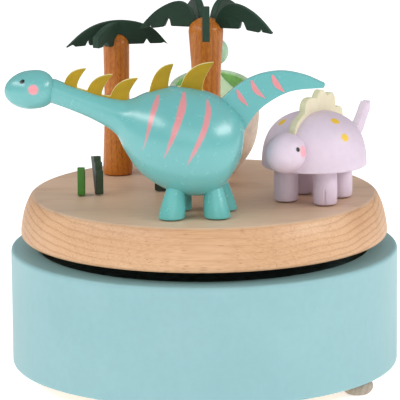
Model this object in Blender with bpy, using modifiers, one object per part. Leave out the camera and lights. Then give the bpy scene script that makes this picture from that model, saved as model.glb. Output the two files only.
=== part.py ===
"""Wind-up cylinder music box: a painted turned drum holds an 18-note movement, and the beech disc
on the movement's key shaft carries two dinosaurs, a hatching egg, two palms and grass.

Sizes are in millimetres, and the helpers turn them into metres. +X is right, +Y is away from the
front, +Z is up, and the origin is the point of the table under the drum's axis.
"""

import math

import bmesh
import bpy
from mathutils import Matrix, Vector

MM = 0.001
GAP = 0.3  # clearance between pieces that touch on the real object

# Driving dimensions: the drum and the disc
DRUM_RADIUS = 58.0
DRUM_BORE = 49.6
DRUM_STEP_BORE = 48.6
DRUM_HEIGHT = 35.2
FOOT_HEIGHT = 4.8
DISC_GAP = 3.6
DISC_THICKNESS = 12.4
DISC_RADIUS = 54.9
DISC_TOP_RADIUS = 52.1
DRUM_TOP = FOOT_HEIGHT + DRUM_HEIGHT
DISC_BOTTOM = DRUM_TOP + DISC_GAP
DISC_TOP = DISC_BOTTOM + DISC_THICKNESS
STAND = DISC_TOP + GAP  # where the figures stand
FOOT_CIRCLE = 51.5
FOOT_ANGLES = (-29, 61, 151, 241)
COVER_TOP = FOOT_HEIGHT + 3.2
COVER_RADIUS = 51.3
COVER_SCREW_CIRCLE = 49.8
DECK_TOP = DRUM_TOP - 4.0
DECK_THICKNESS = 4.0

# Driving dimensions: the movement
SHAFT_RADIUS = 1.6
BEDPLATE_TOP = DECK_TOP - DECK_THICKNESS - GAP
BEDPLATE_THICKNESS = 2.0
BEDPLATE_UNDER = BEDPLATE_TOP - BEDPLATE_THICKNESS
CYLINDER_Z = 20.0
CYLINDER_RADIUS = 6.5
CYLINDER_SPAN = (13.8, 30.8)
PIN_HEIGHT = 0.65
NOTES = 18
CROWN_TEETH, CROWN_RADIUS = 40, 10.5
PINION_TEETH = 10
PINION_RADIUS = CROWN_RADIUS * PINION_TEETH / CROWN_TEETH
GEAR_TEETH, GEAR_RADIUS = 32, 6.4
IDLER_TEETH = 8
IDLER_RADIUS = GEAR_RADIUS * IDLER_TEETH / GEAR_TEETH
IDLER_Y = GEAR_RADIUS + IDLER_RADIUS
WHEEL_TEETH, WHEEL_RADIUS = 20, 4.5
WORM_STARTS, WORM_RADIUS = 2, 1.5
WORM_X, WORM_Y = 35.35, IDLER_Y + WHEEL_RADIUS + WORM_RADIUS

# Driving dimensions: the figures
BRONTO_AT = (-0.3, -32.0)
NECK_END = (-43.4, 92.8)  # along and up, where the neck meets the head
NECK_SLOPE = math.radians(21)
STEGO_AT = (32.7, -12.1)
STEGO_HEADING = math.radians(32)  # from the front towards the left
STEGO_BELLY = 66.6
EGG_AT = (2.6, 30.0)
SMALL_PALM_AT = (-26.4, 28.0)
BIG_PALM_AT = (1.0, 8.0)
PLATE = 2.2  # thickness of the sawn plates


# ---------------------------------------------------------------- helpers


def clear_scene():
    for old in list(bpy.data.objects):
        bpy.data.objects.remove(old, do_unlink=True)


def collection(name):
    made = bpy.data.collections.new(name)
    bpy.context.scene.collection.children.link(made)
    return made


def material(name, colour, roughness, metallic=0.0):
    made = bpy.data.materials.new(name)
    made.use_nodes = True
    shader = made.node_tree.nodes["Principled BSDF"]
    shader.inputs["Base Color"].default_value = (*colour, 1.0)
    shader.inputs["Roughness"].default_value = roughness
    shader.inputs["Metallic"].default_value = metallic
    return made


def at(x, y, z, turn=0.0, tip=0.0):
    """A place in millimetres, tipped about Y, then turned about Z (radians)."""
    move = Matrix.Translation(Vector((x, y, z)) * MM)
    return move @ Matrix.Rotation(turn, 4, "Z") @ Matrix.Rotation(tip, 4, "Y")


def upright(x, y, turn=0.0):
    """A place that stands an outline's own Y up along Z, with its own X along `turn`."""
    return at(x, y, 0, turn) @ Matrix.Rotation(math.pi / 2, 4, "X")


def along_x(x, y, z):
    """A place that lays an outline across the X axis, its middle at x; its own Y points to +Z."""
    return at(x, y, z) @ Matrix.Rotation(math.pi / 2, 4, "Z") @ Matrix.Rotation(math.pi / 2, 4, "X")


def put(name, data, finish, place, parent=None):
    obj = bpy.data.objects.new(name, data)
    data.materials.append(finish)
    PARTS.objects.link(obj)
    obj.matrix_world = place
    if parent:
        obj.parent = parent
        obj.matrix_parent_inverse = parent.matrix_world.inverted()
    return obj


def as_cutter(obj):
    """Moves an object to the cutters, which are not pieces of the music box."""
    for user in list(obj.users_collection):
        user.objects.unlink(obj)
    CUTTERS.objects.link(obj)
    obj.hide_render = True
    obj.display_type = "WIRE"
    return obj


def boolean(obj, other, operation="DIFFERENCE"):
    step = obj.modifiers.new(operation.lower(), "BOOLEAN")
    step.operation = operation
    step.object = other
    return obj


def turned(name, profile, finish, place=Matrix(), parent=None, steps=24):
    """A lathe shape: the (radius, height) profile runs down its outer side, round local Z."""
    mesh = bpy.data.meshes.new(name)
    points = [(radius * MM, 0.0, height * MM) for radius, height in profile]
    closed = min(radius for radius, _ in profile) > 0
    edges = [(i, i + 1) for i in range(len(points) - 1)]
    if closed:
        edges.append((len(points) - 1, 0))
    mesh.from_pydata(points, edges, [])
    obj = put(name, mesh, finish, place, parent)
    screw = obj.modifiers.new("lathe", "SCREW")
    screw.steps = screw.render_steps = steps
    screw.use_merge_vertices = True
    screw.merge_threshold = 0.00001
    screw.use_smooth_shade = True
    return obj


def flat(name, outline, thickness, finish, place=Matrix(), parent=None):
    """A sawn plate: the outline filled, with half its thickness on each side. Returned as a mesh."""
    curve = bpy.data.curves.new(name, "CURVE")
    curve.dimensions = "2D"
    curve.fill_mode = "BOTH"
    curve.extrude = thickness * MM / 2
    spline = curve.splines.new("POLY")
    spline.points.add(len(outline) - 1)
    for point, (x, y) in zip(spline.points, outline):
        point.co = (x * MM, y * MM, 0, 1)
    spline.use_cyclic_u = True
    drawn = bpy.data.objects.new(name, curve)
    PARTS.objects.link(drawn)
    bpy.context.view_layer.update()
    evaluated = drawn.evaluated_get(bpy.context.evaluated_depsgraph_get())
    mesh = bpy.data.meshes.new_from_object(evaluated)
    bpy.data.objects.remove(drawn)
    bpy.data.curves.remove(curve)
    shape = bmesh.new()
    shape.from_mesh(mesh)
    bmesh.ops.remove_doubles(shape, verts=shape.verts, dist=0.000001)
    bmesh.ops.recalc_face_normals(shape, faces=shape.faces)
    shape.to_mesh(mesh)
    shape.free()
    mesh.name = name
    return put(name, mesh, finish, place, parent)


def box(name, low, high, finish, place=Matrix(), parent=None):
    """A rectangular block between two corners."""
    mesh = bpy.data.meshes.new(name)
    shape = bmesh.new()
    middle = (Vector(low) + Vector(high)) / 2 * MM
    size = (Vector(high) - Vector(low)) * MM
    fit = Matrix.Translation(middle) @ Matrix.Diagonal((*size, 1.0))
    bmesh.ops.create_cube(shape, size=1.0, matrix=fit)
    shape.to_mesh(mesh)
    shape.free()
    return put(name, mesh, finish, place, parent)


def hole(obj, radius, bottom, top, place=Matrix(), steps=16):
    """Drills a round hole along local Z of `place`."""
    drill = [(0, top), (radius, top), (radius, bottom), (0, bottom)]
    return boolean(obj, as_cutter(turned("drill", drill, STEEL, place, None, steps)))


def join(obj, other):
    """Makes another shape part of this one's body."""
    return boolean(obj, as_cutter(other), "UNION")


def smooth(points, per_span=4):
    """A Catmull-Rom curve through the points, ends included."""
    ends = [2 * Vector(points[0]) - Vector(points[1]), 2 * Vector(points[-1]) - Vector(points[-2])]
    path = [ends[0], *map(Vector, points), ends[1]]
    made = []
    for a, b, c, d in zip(path, path[1:], path[2:], path[3:]):
        for step in range(per_span):
            t = step / per_span
            bend = (3 * b - a - 3 * c + d) * t**3 + (2 * a - 5 * b + 4 * c - d) * t**2
            made.append(tuple((bend + (c - a) * t + 2 * b) / 2))
    return made + [tuple(points[-1])]


def arc(start, pull, end, count=5):
    """A quadratic Bezier curve from start to end, bent towards pull."""
    made = []
    for step in range(count + 1):
        t = step / count
        point = Vector(start) * (1 - t) ** 2 + Vector(pull) * 2 * t * (1 - t) + Vector(end) * t**2
        made.append(tuple(point))
    return made


def gear(teeth, root, tip, root_width, tip_width, phase=0.0):
    """A toothed outline. Widths are shares of the pitch; a tooth is centred on the phase angle."""
    outline = []
    pitch = 2 * math.pi / teeth
    for tooth in range(teeth):
        middle = phase + tooth * pitch
        for radius, share in ((root, -root_width), (tip, -tip_width), (tip, tip_width), (root, root_width)):
            angle = middle + share * pitch / 2
            outline.append((radius * math.cos(angle), radius * math.sin(angle)))
    return outline


def round_bar(radius, start, end):
    return [(0, end), (radius, end), (radius, start), (0, start)]


def screw(name, place, shank_length, shank=1.0, head=2.1, head_height=1.1, parent=None):
    """A pan-head screw: its head's seat is at local z = 0, and its shank points up."""
    profile = [(0, shank_length), (shank * 0.5, shank_length), (shank, shank_length - 1), (shank, 0)]
    profile += [(head, 0), (head, -0.5 * head_height), (head * 0.7, -head_height), (0, -head_height)]
    return turned(name, profile, STEEL, place, parent, steps=10)


def joint_axis(name, x, y, z):
    """An empty on a joint's axis, which the moving pieces hang from."""
    empty = bpy.data.objects.new(name, None)
    empty.location = Vector((x, y, z)) * MM
    PARTS.objects.link(empty)
    bpy.context.view_layer.update()
    return empty


# ---------------------------------------------------------------- drum


def make_drum():
    edge = 0.8
    ledge = DECK_TOP - DECK_THICKNESS - GAP
    profile = [
        (DRUM_BORE, DRUM_TOP), (DRUM_RADIUS - edge, DRUM_TOP), (DRUM_RADIUS, DRUM_TOP - edge),
        (DRUM_RADIUS, FOOT_HEIGHT + edge), (DRUM_RADIUS - edge, FOOT_HEIGHT),
        (COVER_RADIUS + GAP, FOOT_HEIGHT), (COVER_RADIUS + GAP, COVER_TOP + GAP),
        (DRUM_STEP_BORE, COVER_TOP + GAP), (DRUM_STEP_BORE, ledge), (DRUM_BORE, ledge),
    ]
    drum = turned("drum_shell", profile, AQUA, steps=56)
    cover = turned("bottom_cover", round_bar(COVER_RADIUS, FOOT_HEIGHT + 0.2, COVER_TOP), PLYWOOD, steps=48)
    deck = turned("deck_plate", round_bar(DRUM_BORE - GAP, DECK_TOP - DECK_THICKNESS, DECK_TOP), BLACK, steps=48)
    hole(deck, SHAFT_RADIUS + 1.2, DECK_TOP - DECK_THICKNESS - 1, DECK_TOP + 1)
    for number, angle in enumerate((16, 136, 256), 1):
        turn = math.radians(angle)
        x, y = COVER_SCREW_CIRCLE * math.cos(turn), COVER_SCREW_CIRCLE * math.sin(turn)
        hole(cover, 1.1 + GAP, 0, 20, at(x, y, 0), 12)
        hole(drum, 1.1 + GAP, 0, 16, at(x, y, 0), 12)
        screw(f"cover_screw_{number}", at(x, y, FOOT_HEIGHT + 0.2 - GAP), 10, 1.1)
    return deck


def make_feet():
    top, belly, radius = FOOT_HEIGHT - GAP, 2.1, 5.3
    side = arc((3.4, top), (radius + 0.7, belly), (3.2, 0), 6)
    for number, angle in enumerate(FOOT_ANGLES, 1):
        turn = math.radians(angle)
        place = at(FOOT_CIRCLE * math.cos(turn), FOOT_CIRCLE * math.sin(turn), 0)
        turned(f"foot_{number}", [(0, top), *side, (0, 0)], BEECH, place, steps=16)


# ---------------------------------------------------------------- movement


def make_frame(deck):
    """Bedplate with its cast bearing lugs, comb ledge and governor post, screwed up under the deck."""
    low_x, high_x, low_y, high_y = -14.0, 41.4, -24.5, 18.0
    lug_low = CYLINDER_Z - 3.5
    plate = box("bedplate", (low_x, low_y, BEDPLATE_UNDER), (high_x, high_y, BEDPLATE_TOP), ZINC)
    bite = BEDPLATE_UNDER + 0.5
    join(plate, box("lug", (12.0, -3.0, lug_low), (13.4, 3.0, bite), ZINC))
    join(plate, box("lug", (32.8, -3.0, lug_low), (34.2, IDLER_Y + 3.0, bite), ZINC))
    join(plate, box("ledge", (12.4, low_y + 0.4, CYLINDER_Z + 0.8), (32.2, low_y + 6, bite), ZINC))
    join(plate, box("post", (40.0, IDLER_Y - 1.8, 10.2), (high_x - 0.1, WORM_Y + 1.6, bite), ZINC))
    join(plate, box("arm", (WORM_X - 1.8, WORM_Y - 1.7, 10.1), (40.4, WORM_Y + 1.5, 11.6), ZINC))
    hole(plate, SHAFT_RADIUS + 0.6, BEDPLATE_UNDER - 1, BEDPLATE_TOP + 1)
    hole(plate, 0.9, 9, BEDPLATE_TOP + 1, at(WORM_X, WORM_Y, 0), 12)
    for x, y in ((12.7, 0), (33.5, 0), (33.5, IDLER_Y)):
        hole(plate, 1.3, -1.5, 1.5, along_x(x, y, CYLINDER_Z), 12)
    hole(plate, 1.3, -1.5, 1.5, along_x(40.7, IDLER_Y, CYLINDER_Z), 12)
    for number, (x, y) in enumerate(((-10.5, -20.5), (-10.5, 14.5), (37.0, -20.5)), 1):
        hole(plate, 1.0 + GAP, BEDPLATE_UNDER - 1, BEDPLATE_TOP + 1, at(x, y, 0), 12)
        hole(deck, 1.0 + GAP, DECK_TOP - DECK_THICKNESS - 1, DECK_TOP - 0.6, at(x, y, 0), 12)
        screw(f"movement_screw_{number}", at(x, y, BEDPLATE_UNDER - GAP), 5.2)
    return plate


def make_spring():
    """The spring housing hangs from three legs; the mainspring winds round the key shaft inside it."""
    outer, wall, floor, rim = 8.8, 0.7, 11.4, 21.8
    cup = [
        (0, floor + wall), (outer - wall, floor + wall), (outer - wall, rim), (outer, rim), (outer, floor),
        (0, floor),
    ]
    housing = turned("spring_housing", cup, BRASS, steps=28)
    leg_out, leg_width = 13.6, 3.0
    for angle in (90, 180, 270):
        turn = at(0, 0, 0, math.radians(angle))
        half = leg_width / 2
        join(housing, box("tab", (outer - 0.5, -half, rim - 1.1), (leg_out, half, rim - 0.1), BRASS, turn))
        top = BEDPLATE_UNDER - GAP
        join(housing, box("leg", (leg_out - 1.2, -half, rim - 1.0), (leg_out + 0.1, half, top), BRASS, turn))
    turns, per_turn, inner, width = 5, 14, 2.5, 0.4
    coil = []
    for step in range(turns * per_turn + 1):
        angle = 2 * math.pi * step / per_turn
        radius = inner + (outer - wall - 0.8 - inner) * step / (turns * per_turn)
        coil.append((radius, angle))
    inside = [((r - width / 2) * math.cos(a), (r - width / 2) * math.sin(a)) for r, a in coil]
    outside = [((r + width / 2) * math.cos(a), (r + width / 2) * math.sin(a)) for r, a in coil]
    flat("mainspring", inside + outside[::-1], 8.0, STEEL, at(0, 0, 16.8))


def make_comb(plate):
    """The steel comb: its tuned teeth stop just short of the pins' circle."""
    thickness, tip_y, root_y, back_y = 1.1, -(CYLINDER_RADIUS + PIN_HEIGHT + 0.3), -18.2, -24.0
    start, pitch = CYLINDER_SPAN[0], (CYLINDER_SPAN[1] - CYLINDER_SPAN[0]) / NOTES
    outline = [(start, back_y)]
    for note in range(NOTES):
        left = start + pitch * note
        depth = root_y + 3.0 * note / NOTES
        outline += [(left + 0.17, depth), (left + 0.17, tip_y), (left + pitch - 0.17, tip_y)]
        outline += [(left + pitch - 0.17, depth)]
    outline.append((CYLINDER_SPAN[1], back_y))
    top = CYLINDER_Z + 0.8 - GAP
    comb = flat("comb", outline, thickness, STEEL, at(0, 0, top - thickness / 2))
    for number, x in enumerate((17.5, 27.0), 1):
        y = (root_y + back_y) / 2 - 0.2
        hole(comb, 0.8 + GAP, CYLINDER_Z - 3, CYLINDER_Z + 3, at(x, y, 0), 12)
        hole(plate, 0.8 + GAP, CYLINDER_Z - 3, CYLINDER_Z + 6, at(x, y, 0), 12)
        screw(f"comb_screw_{number}", at(x, y, top - thickness - GAP), 6, 0.8, 1.7, 1.0)


def make_key_shaft(axis):
    """The key shaft with its crown wheel, whose teeth point down at the cylinder's pinion."""
    web_top, web_low, tooth_low, rim = 24.6, 23.2, 22.3, CROWN_RADIUS + 1.1
    profile = [(0, DISC_BOTTOM - 0.9), (SHAFT_RADIUS, DISC_BOTTOM - 0.9), (SHAFT_RADIUS, web_top)]
    profile += [(rim, web_top), (rim, web_low), (SHAFT_RADIUS, web_low), (SHAFT_RADIUS, 12.8), (0, 12.8)]
    shaft = turned("key_shaft", profile, BRASS, parent=axis, steps=20)
    teeth = gear(CROWN_TEETH, CROWN_RADIUS - 1.2, rim - 0.1, 0.46, 0.40)
    height = web_low + 0.2 - tooth_low
    join(shaft, flat("crown_teeth", teeth, height, BRASS, at(0, 0, tooth_low + height / 2)))


def make_cylinder(axis):
    """The pinned barrel, on an arbor that carries the driving pinion and the gear to the governor."""
    start, end = CYLINDER_SPAN
    middle = (start + end) / 2
    half = (end - start) / 2
    tube = [
        (1.0 + GAP, half), (CYLINDER_RADIUS, half), (CYLINDER_RADIUS, -half), (1.0 + GAP, -half),
    ]
    barrel = turned("pin_cylinder", tube, BRASS, along_x(middle, 0, CYLINDER_Z), axis, steps=28)
    pitch, golden, half_pin = (end - start) / NOTES, math.radians(137.5), 0.2
    shape = bmesh.new()
    for pin in range(2 * NOTES):
        reach = CYLINDER_RADIUS + PIN_HEIGHT
        turn = Matrix.Rotation(golden * pin, 4, "X")
        centre = Vector((start + pitch * (pin % NOTES + 0.5), 0, (reach + CYLINDER_RADIUS - 0.5) / 2)) * MM
        size = Vector((2 * half_pin, 2 * half_pin, PIN_HEIGHT + 0.5)) * MM
        fit = turn @ Matrix.Translation(centre) @ Matrix.Diagonal((*size, 1.0))
        bmesh.ops.create_cube(shape, size=1.0, matrix=fit)
    pins = bpy.data.meshes.new("pins")
    shape.to_mesh(pins)
    shape.free()
    join(barrel, put("pins", pins, BRASS, at(0, 0, CYLINDER_Z)))
    arbor_start, arbor_end = 9.4, 34.6
    length = arbor_end - arbor_start
    place = along_x((arbor_start + arbor_end) / 2, 0, CYLINDER_Z)
    arbor = turned("cylinder_arbor", round_bar(1.0, -length / 2, length / 2), STEEL, place, axis, steps=12)
    gap_up = math.pi / 2 + math.pi / PINION_TEETH
    pinion = gear(PINION_TEETH, PINION_RADIUS - 0.6, PINION_RADIUS + 0.35, 0.44, 0.16, gap_up)
    join(arbor, flat("pinion", pinion, 2.2, STEEL, along_x(10.6, 0, CYLINDER_Z)))
    wheel = gear(GEAR_TEETH, GEAR_RADIUS - 0.5, GEAR_RADIUS + 0.4, 0.56, 0.24)
    join(arbor, flat("gear", wheel, 1.2, BRASS, along_x(31.75, 0, CYLINDER_Z)))


def make_idler(axis):
    """The idler: a small pinion driven by the cylinder, and the wheel that drives the worm."""
    start, end = 31.1, 41.0
    place = along_x((start + end) / 2, IDLER_Y, CYLINDER_Z)
    idler = turned("idler_wheel", round_bar(1.0, (start - end) / 2, (end - start) / 2), BRASS, place, axis, steps=12)
    gap_left = math.pi + math.pi / IDLER_TEETH
    pinion = gear(IDLER_TEETH, IDLER_RADIUS - 0.5, IDLER_RADIUS + 0.3, 0.46, 0.16, gap_left)
    join(idler, flat("idler_pinion", pinion, 1.2, BRASS, along_x(31.75, IDLER_Y, CYLINDER_Z)))
    wheel = gear(WHEEL_TEETH, WHEEL_RADIUS - 0.6, WHEEL_RADIUS + 0.1, 0.46, 0.20)
    join(idler, flat("worm_wheel", wheel, 1.5, BRASS, along_x(WORM_X, IDLER_Y, CYLINDER_Z)))


def make_governor(axis):
    """The governor: a two-start worm whose radius follows cos(2 pi z / pitch - starts * angle), and a fly."""
    place = at(WORM_X, WORM_Y, 0)
    worm = turned("governor_worm", round_bar(0.6, 10.6, BEDPLATE_TOP - 0.4), STEEL, place, axis, steps=10)
    pitch = 2 * math.pi * WHEEL_RADIUS / WHEEL_TEETH
    around, low, high, depth = 14, CYLINDER_Z - 3.6, CYLINDER_Z + 3.6, 0.42
    rows = 30
    mesh = bpy.data.meshes.new("thread")
    shape = bmesh.new()
    rings = []
    for row in range(rows + 1):
        z = low + (high - low) * row / rows
        ring = []
        for spoke in range(around):
            angle = 2 * math.pi * spoke / around
            # The phase is pi at the wheel's side, so that a gap between threads faces a wheel tooth.
            phase = 2 * math.pi * (z - CYLINDER_Z) / pitch - WORM_STARTS * (angle + math.pi / 2) + math.pi
            radius = WORM_RADIUS - 0.12 + depth * math.cos(phase)
            ring.append(shape.verts.new(Vector((radius * math.cos(angle), radius * math.sin(angle), z)) * MM))
        rings.append(ring)
    for lower, upper in zip(rings, rings[1:]):
        for spoke in range(around):
            following = (spoke + 1) % around
            shape.faces.new((lower[spoke], lower[following], upper[following], upper[spoke]))
    shape.faces.new(rings[0][::-1])
    shape.faces.new(rings[-1])
    shape.to_mesh(mesh)
    shape.free()
    join(worm, put("thread", mesh, STEEL, place))
    join(worm, box("fly", (-3.9, -0.3, 12.2), (3.9, 0.3, 14.8), STEEL, place))


# ---------------------------------------------------------------- turntable


def make_disc(axis):
    """The beech disc with its rounded flank, and the hub that fixes it to the key shaft."""
    flank = smooth(
        [
            (DISC_TOP_RADIUS - 1.0, DISC_TOP), (DISC_TOP_RADIUS, DISC_TOP - 0.8), (53.4, DISC_TOP - 3.5),
            (54.3, DISC_TOP - 6.6), (54.8, DISC_TOP - 9.6), (DISC_RADIUS, DISC_BOTTOM + 0.8),
            (DISC_RADIUS - 0.5, DISC_BOTTOM),
        ],
        2,
    )
    disc = turned("turntable_disc", [(0, DISC_TOP), *flank, (0, DISC_BOTTOM)], BEECH, parent=axis, steps=64)
    top = DISC_BOTTOM - GAP
    bore = SHAFT_RADIUS + GAP
    profile = [(0, top), (9, top), (9, top - 1.5), (4, top - 1.5), (4, top - 5.2), (bore, top - 5.2)]
    profile += [(bore, DISC_BOTTOM - 0.6), (0, DISC_BOTTOM - 0.6)]
    hub = turned("turntable_hub", profile, BRASS, parent=axis, steps=24)
    for number, x in enumerate((-6.4, 6.4), 1):
        hole(hub, 0.9 + GAP, top - 3, top + 1, at(x, 0, 0), 12)
        hole(disc, 0.9 + GAP, DISC_BOTTOM - 1, DISC_BOTTOM + 7, at(x, 0, 0), 12)
        screw(f"hub_screw_{number}", at(x, 0, top - 1.5 - GAP), 8, 0.9, 1.8, 1.0, axis)


# ---------------------------------------------------------------- long-necked dinosaur


def bronto_profile(grow=0.0):
    """(radius, distance from the neck's end), from the rump to the neck; grow thickens it all over."""
    outline = smooth(
        [
            (3.0, 57.8), (10.6, 55.2), (14.4, 49.0), (15.3, 41.0), (13.4, 32.4), (9.0, 25.9),
            (5.3, 21.6), (3.75, 14.5), (3.35, 6.0), (3.5, 0.0),
        ],
        2,
    )
    body = [(0, 58.1 + grow)] + [(radius + grow, along) for radius, along in outline]
    return body + [(3.6 + grow, -1.4 - grow), (0, -1.4 - grow)]


def fin(left, right, tip):
    """A shark-fin spike: a bulging front edge up to the tip and a hollow back edge down from it."""
    front = (left[0] + 0.2 * (tip[0] - left[0]), tip[1])
    back = (right[0], right[1] + 0.4 * (tip[1] - right[1]))
    return arc(left, front, tip, 4)[:-1] + arc(tip, back, right, 4)


def make_bronto(axis):
    middle = at(*BRONTO_AT, 0)
    neck = middle @ at(NECK_END[0], 0, NECK_END[1], 0, math.pi / 2 + NECK_SLOPE)
    body = turned("bronto_body", bronto_profile(), AQUA, neck, axis, steps=24)
    skin = as_cutter(turned("bronto_skin", bronto_profile(GAP), AQUA, neck, steps=24))

    half_length, girth = 6.9, 5.55
    egg = []
    for step in range(11):
        angle = math.pi * step / 10
        radius = girth * math.sin(angle) * (1 + 0.10 * math.cos(angle))
        egg.append((radius, half_length * math.cos(angle)))
    egg[0], egg[-1] = (0, half_length), (0, -half_length)
    head_place = middle @ at(-50.1, 0, 93.0, 0, math.pi / 2 - math.radians(5))
    boolean(turned("bronto_head", egg, AQUA, head_place, axis, steps=20), skin)

    for number, (x, y) in enumerate(((-9.1, -6.6), (4.2, -5.6), (6.2, 5.6), (-7.2, 6.0)), 1):
        lean = math.atan2(math.hypot(-2 - x, y), 45)
        turn = math.atan2(-y, -2 - x)
        cone = [(0, 15), (1.9, 15), (3.75, 2.2), (3.9, 0.5), (3.7, -2), (0, -2)]
        place = middle @ at(x, y, STAND, turn, lean)
        leg = boolean(turned(f"bronto_leg_{number}", cone, AQUA, place, axis, steps=16), skin)
        boolean(leg, as_cutter(box("sole", (-9, -9, -9), (9, 9, 0), AQUA, middle @ at(x, y, STAND))))

    top_edge = smooth([(2.0, 86.5), (9.3, 93.3), (15.5, 96.8), (22.6, 98.1), (29.5, 96.9), (35.5, 94.3)], 3)
    low_edge = smooth([(35.2, 93.1), (26.0, 92.2), (19.2, 88.9), (14.3, 84.2), (9.5, 75.5)], 3)
    tail = flat("bronto_tail", top_edge + low_edge, PLATE, AQUA, upright(*BRONTO_AT), axis)
    boolean(tail, skin)

    neck_seat = [(-40.0, 93.0), (-20.9, 88.0)]
    back_seat = [(-15.5, 90.0), (-8.0, 91.4), (0.6, 90.4)]
    crests = (
        (
            "bronto_neck_crest", neck_seat,
            [
                fin((-39.6, 95.2), (-36.0, 93.6), (-33.2, 99.2)),
                fin((-33.1, 92.7), (-28.9, 91.4), (-25.6, 97.4)),
                fin((-26.4, 91.1), (-21.4, 89.8), (-18.3, 96.3)),
            ],
        ),
        (
            "bronto_back_crest", back_seat,
            [fin((-15.2, 92.4), (-9.7, 93.4), (-8.1, 100.3)), fin((-6.1, 93.8), (0.1, 92.6), (3.5, 100.7))],
        ),
    )
    for name, seat, fins in crests:
        lid = [(seat[-1][0] + GAP, 104.0), (seat[0][0] - GAP, 104.0)]
        floor = [(seat[0][0] - GAP, seat[0][1] - GAP)] + [(x, z - GAP) for x, z in seat[1:-1]]
        floor.append((seat[-1][0] + GAP, seat[-1][1] - GAP))
        kerf = flat(name + "_kerf", floor + lid, PLATE - 0.4 + 2 * GAP, MUSTARD, upright(*BRONTO_AT))
        boolean(body, as_cutter(kerf))
        first, last = fins[0][0], fins[-1][-1]
        ends_left = (seat[0][0], first[1] - 0.5)
        ends_right = (seat[-1][0], last[1] - 0.5)
        ridge = [point for one in fins for point in one]
        outline = [*seat, ends_right, *ridge[::-1], ends_left]
        flat(name, outline, PLATE - 0.4, MUSTARD, upright(*BRONTO_AT), axis)


# ---------------------------------------------------------------- plated dinosaur


def dome_profile(grow=0.0):
    """(radius, height) of the body over its flat belly, a superellipse; grow thickens it all over."""
    height, radius, power = 15.9, 15.5, 2 / 2.5
    outline = []
    for step in range(10):
        angle = math.pi / 2 * step / 9
        r, z = radius * math.sin(angle) ** power, height * abs(math.cos(angle)) ** power
        outline.append((r + grow * math.sin(angle), z + grow * math.cos(angle)))
    outline[0], outline[-1] = (0, height + grow), (radius + grow, 0.3)
    return outline + [(radius - 0.3 + grow, -grow), (0, -grow)]


def make_stego(axis):
    x, y = STEGO_AT
    spine = -math.pi / 2 - STEGO_HEADING  # direction of the head
    place = at(x, y, STEGO_BELLY)
    body = turned("stego_body", dome_profile(), LILAC, place, axis, steps=32)
    skin = as_cutter(turned("stego_skin", dome_profile(GAP), LILAC, place, steps=32))

    head = []
    half_length, girth, reach, head_z = 6.9, 5.85, 16.6, 72.7
    for step in range(11):
        angle = math.pi * step / 10
        head.append((girth * math.sin(angle), half_length * math.cos(angle)))
    head[0], head[-1] = (0, half_length), (0, -half_length)
    place = at(x + reach * math.cos(spine), y + reach * math.sin(spine), head_z, spine, math.pi / 2)
    boolean(turned("stego_head", head, LILAC, place, axis, steps=20), skin)

    top = STEGO_BELLY - GAP - STAND
    dowel = [(0, top), (3.4, top), (3.6, 6.5), (3.65, 2.4), (3.6, 0.6), (3.2, 0), (0, 0)]
    for number, (a, b) in enumerate(((24.3, -14.5), (35.6, -20.1), (40.5, -9.0), (29.3, -3.4)), 1):
        turned(f"stego_leg_{number}", dowel, LILAC, at(a, b, STAND), axis, steps=16)

    seat = [(9.9, 75.5), (0.0, 79.4), (-14.0, 76.2)]
    outline = seat[::-1]
    outline += arc((10.2, 76.0), (14.4, 80.9), (6.3, 82.7), 4)
    outline += arc((6.1, 83.1), (6.6, 88.0), (0.1, 86.4), 4)
    outline += arc((-0.2, 86.8), (-1.8, 89.7), (-5.8, 86.9), 4)
    outline += arc((-6.1, 86.8), (-10.9, 87.6), (-10.9, 82.3), 4)
    outline += arc((-11.2, 82.3), (-15.3, 82.4), (-15.2, 78.2), 4)
    floor = [(px, pz - GAP) for px, pz in seat]
    kerf_outline = [(10.8, 75.0), *floor[1:-1], (-15.0, 75.7), (-18.0, 92.0), (18.0, 92.0)]
    kerf = flat("stego_kerf", kerf_outline, PLATE + 2 * GAP, CREAM, upright(x, y, spine))
    boolean(body, as_cutter(kerf))
    flat("stego_crest", outline, PLATE, CREAM, upright(x, y, spine), axis)

    tail_outline = smooth([(-11.0, 72.6), (-18.6, 72.6), (-24.6, 75.2), (-27.4, 77.8), (-29.1, 80.0)], 2)
    tail_outline += [(-29.5, 79.8), (-30.1, 80.6), (-30.7, 80.2), (-31.5, 80.9)]
    tail_outline += smooth([(-31.3, 78.5), (-29.2, 75.3), (-26.7, 71.8), (-20.0, 68.0), (-11.0, 67.4)], 2)
    tail = flat("stego_tail", tail_outline, PLATE + 0.2, LILAC, upright(x, y, spine), axis)
    boolean(tail, skin)


# ---------------------------------------------------------------- egg with a hatchling


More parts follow.
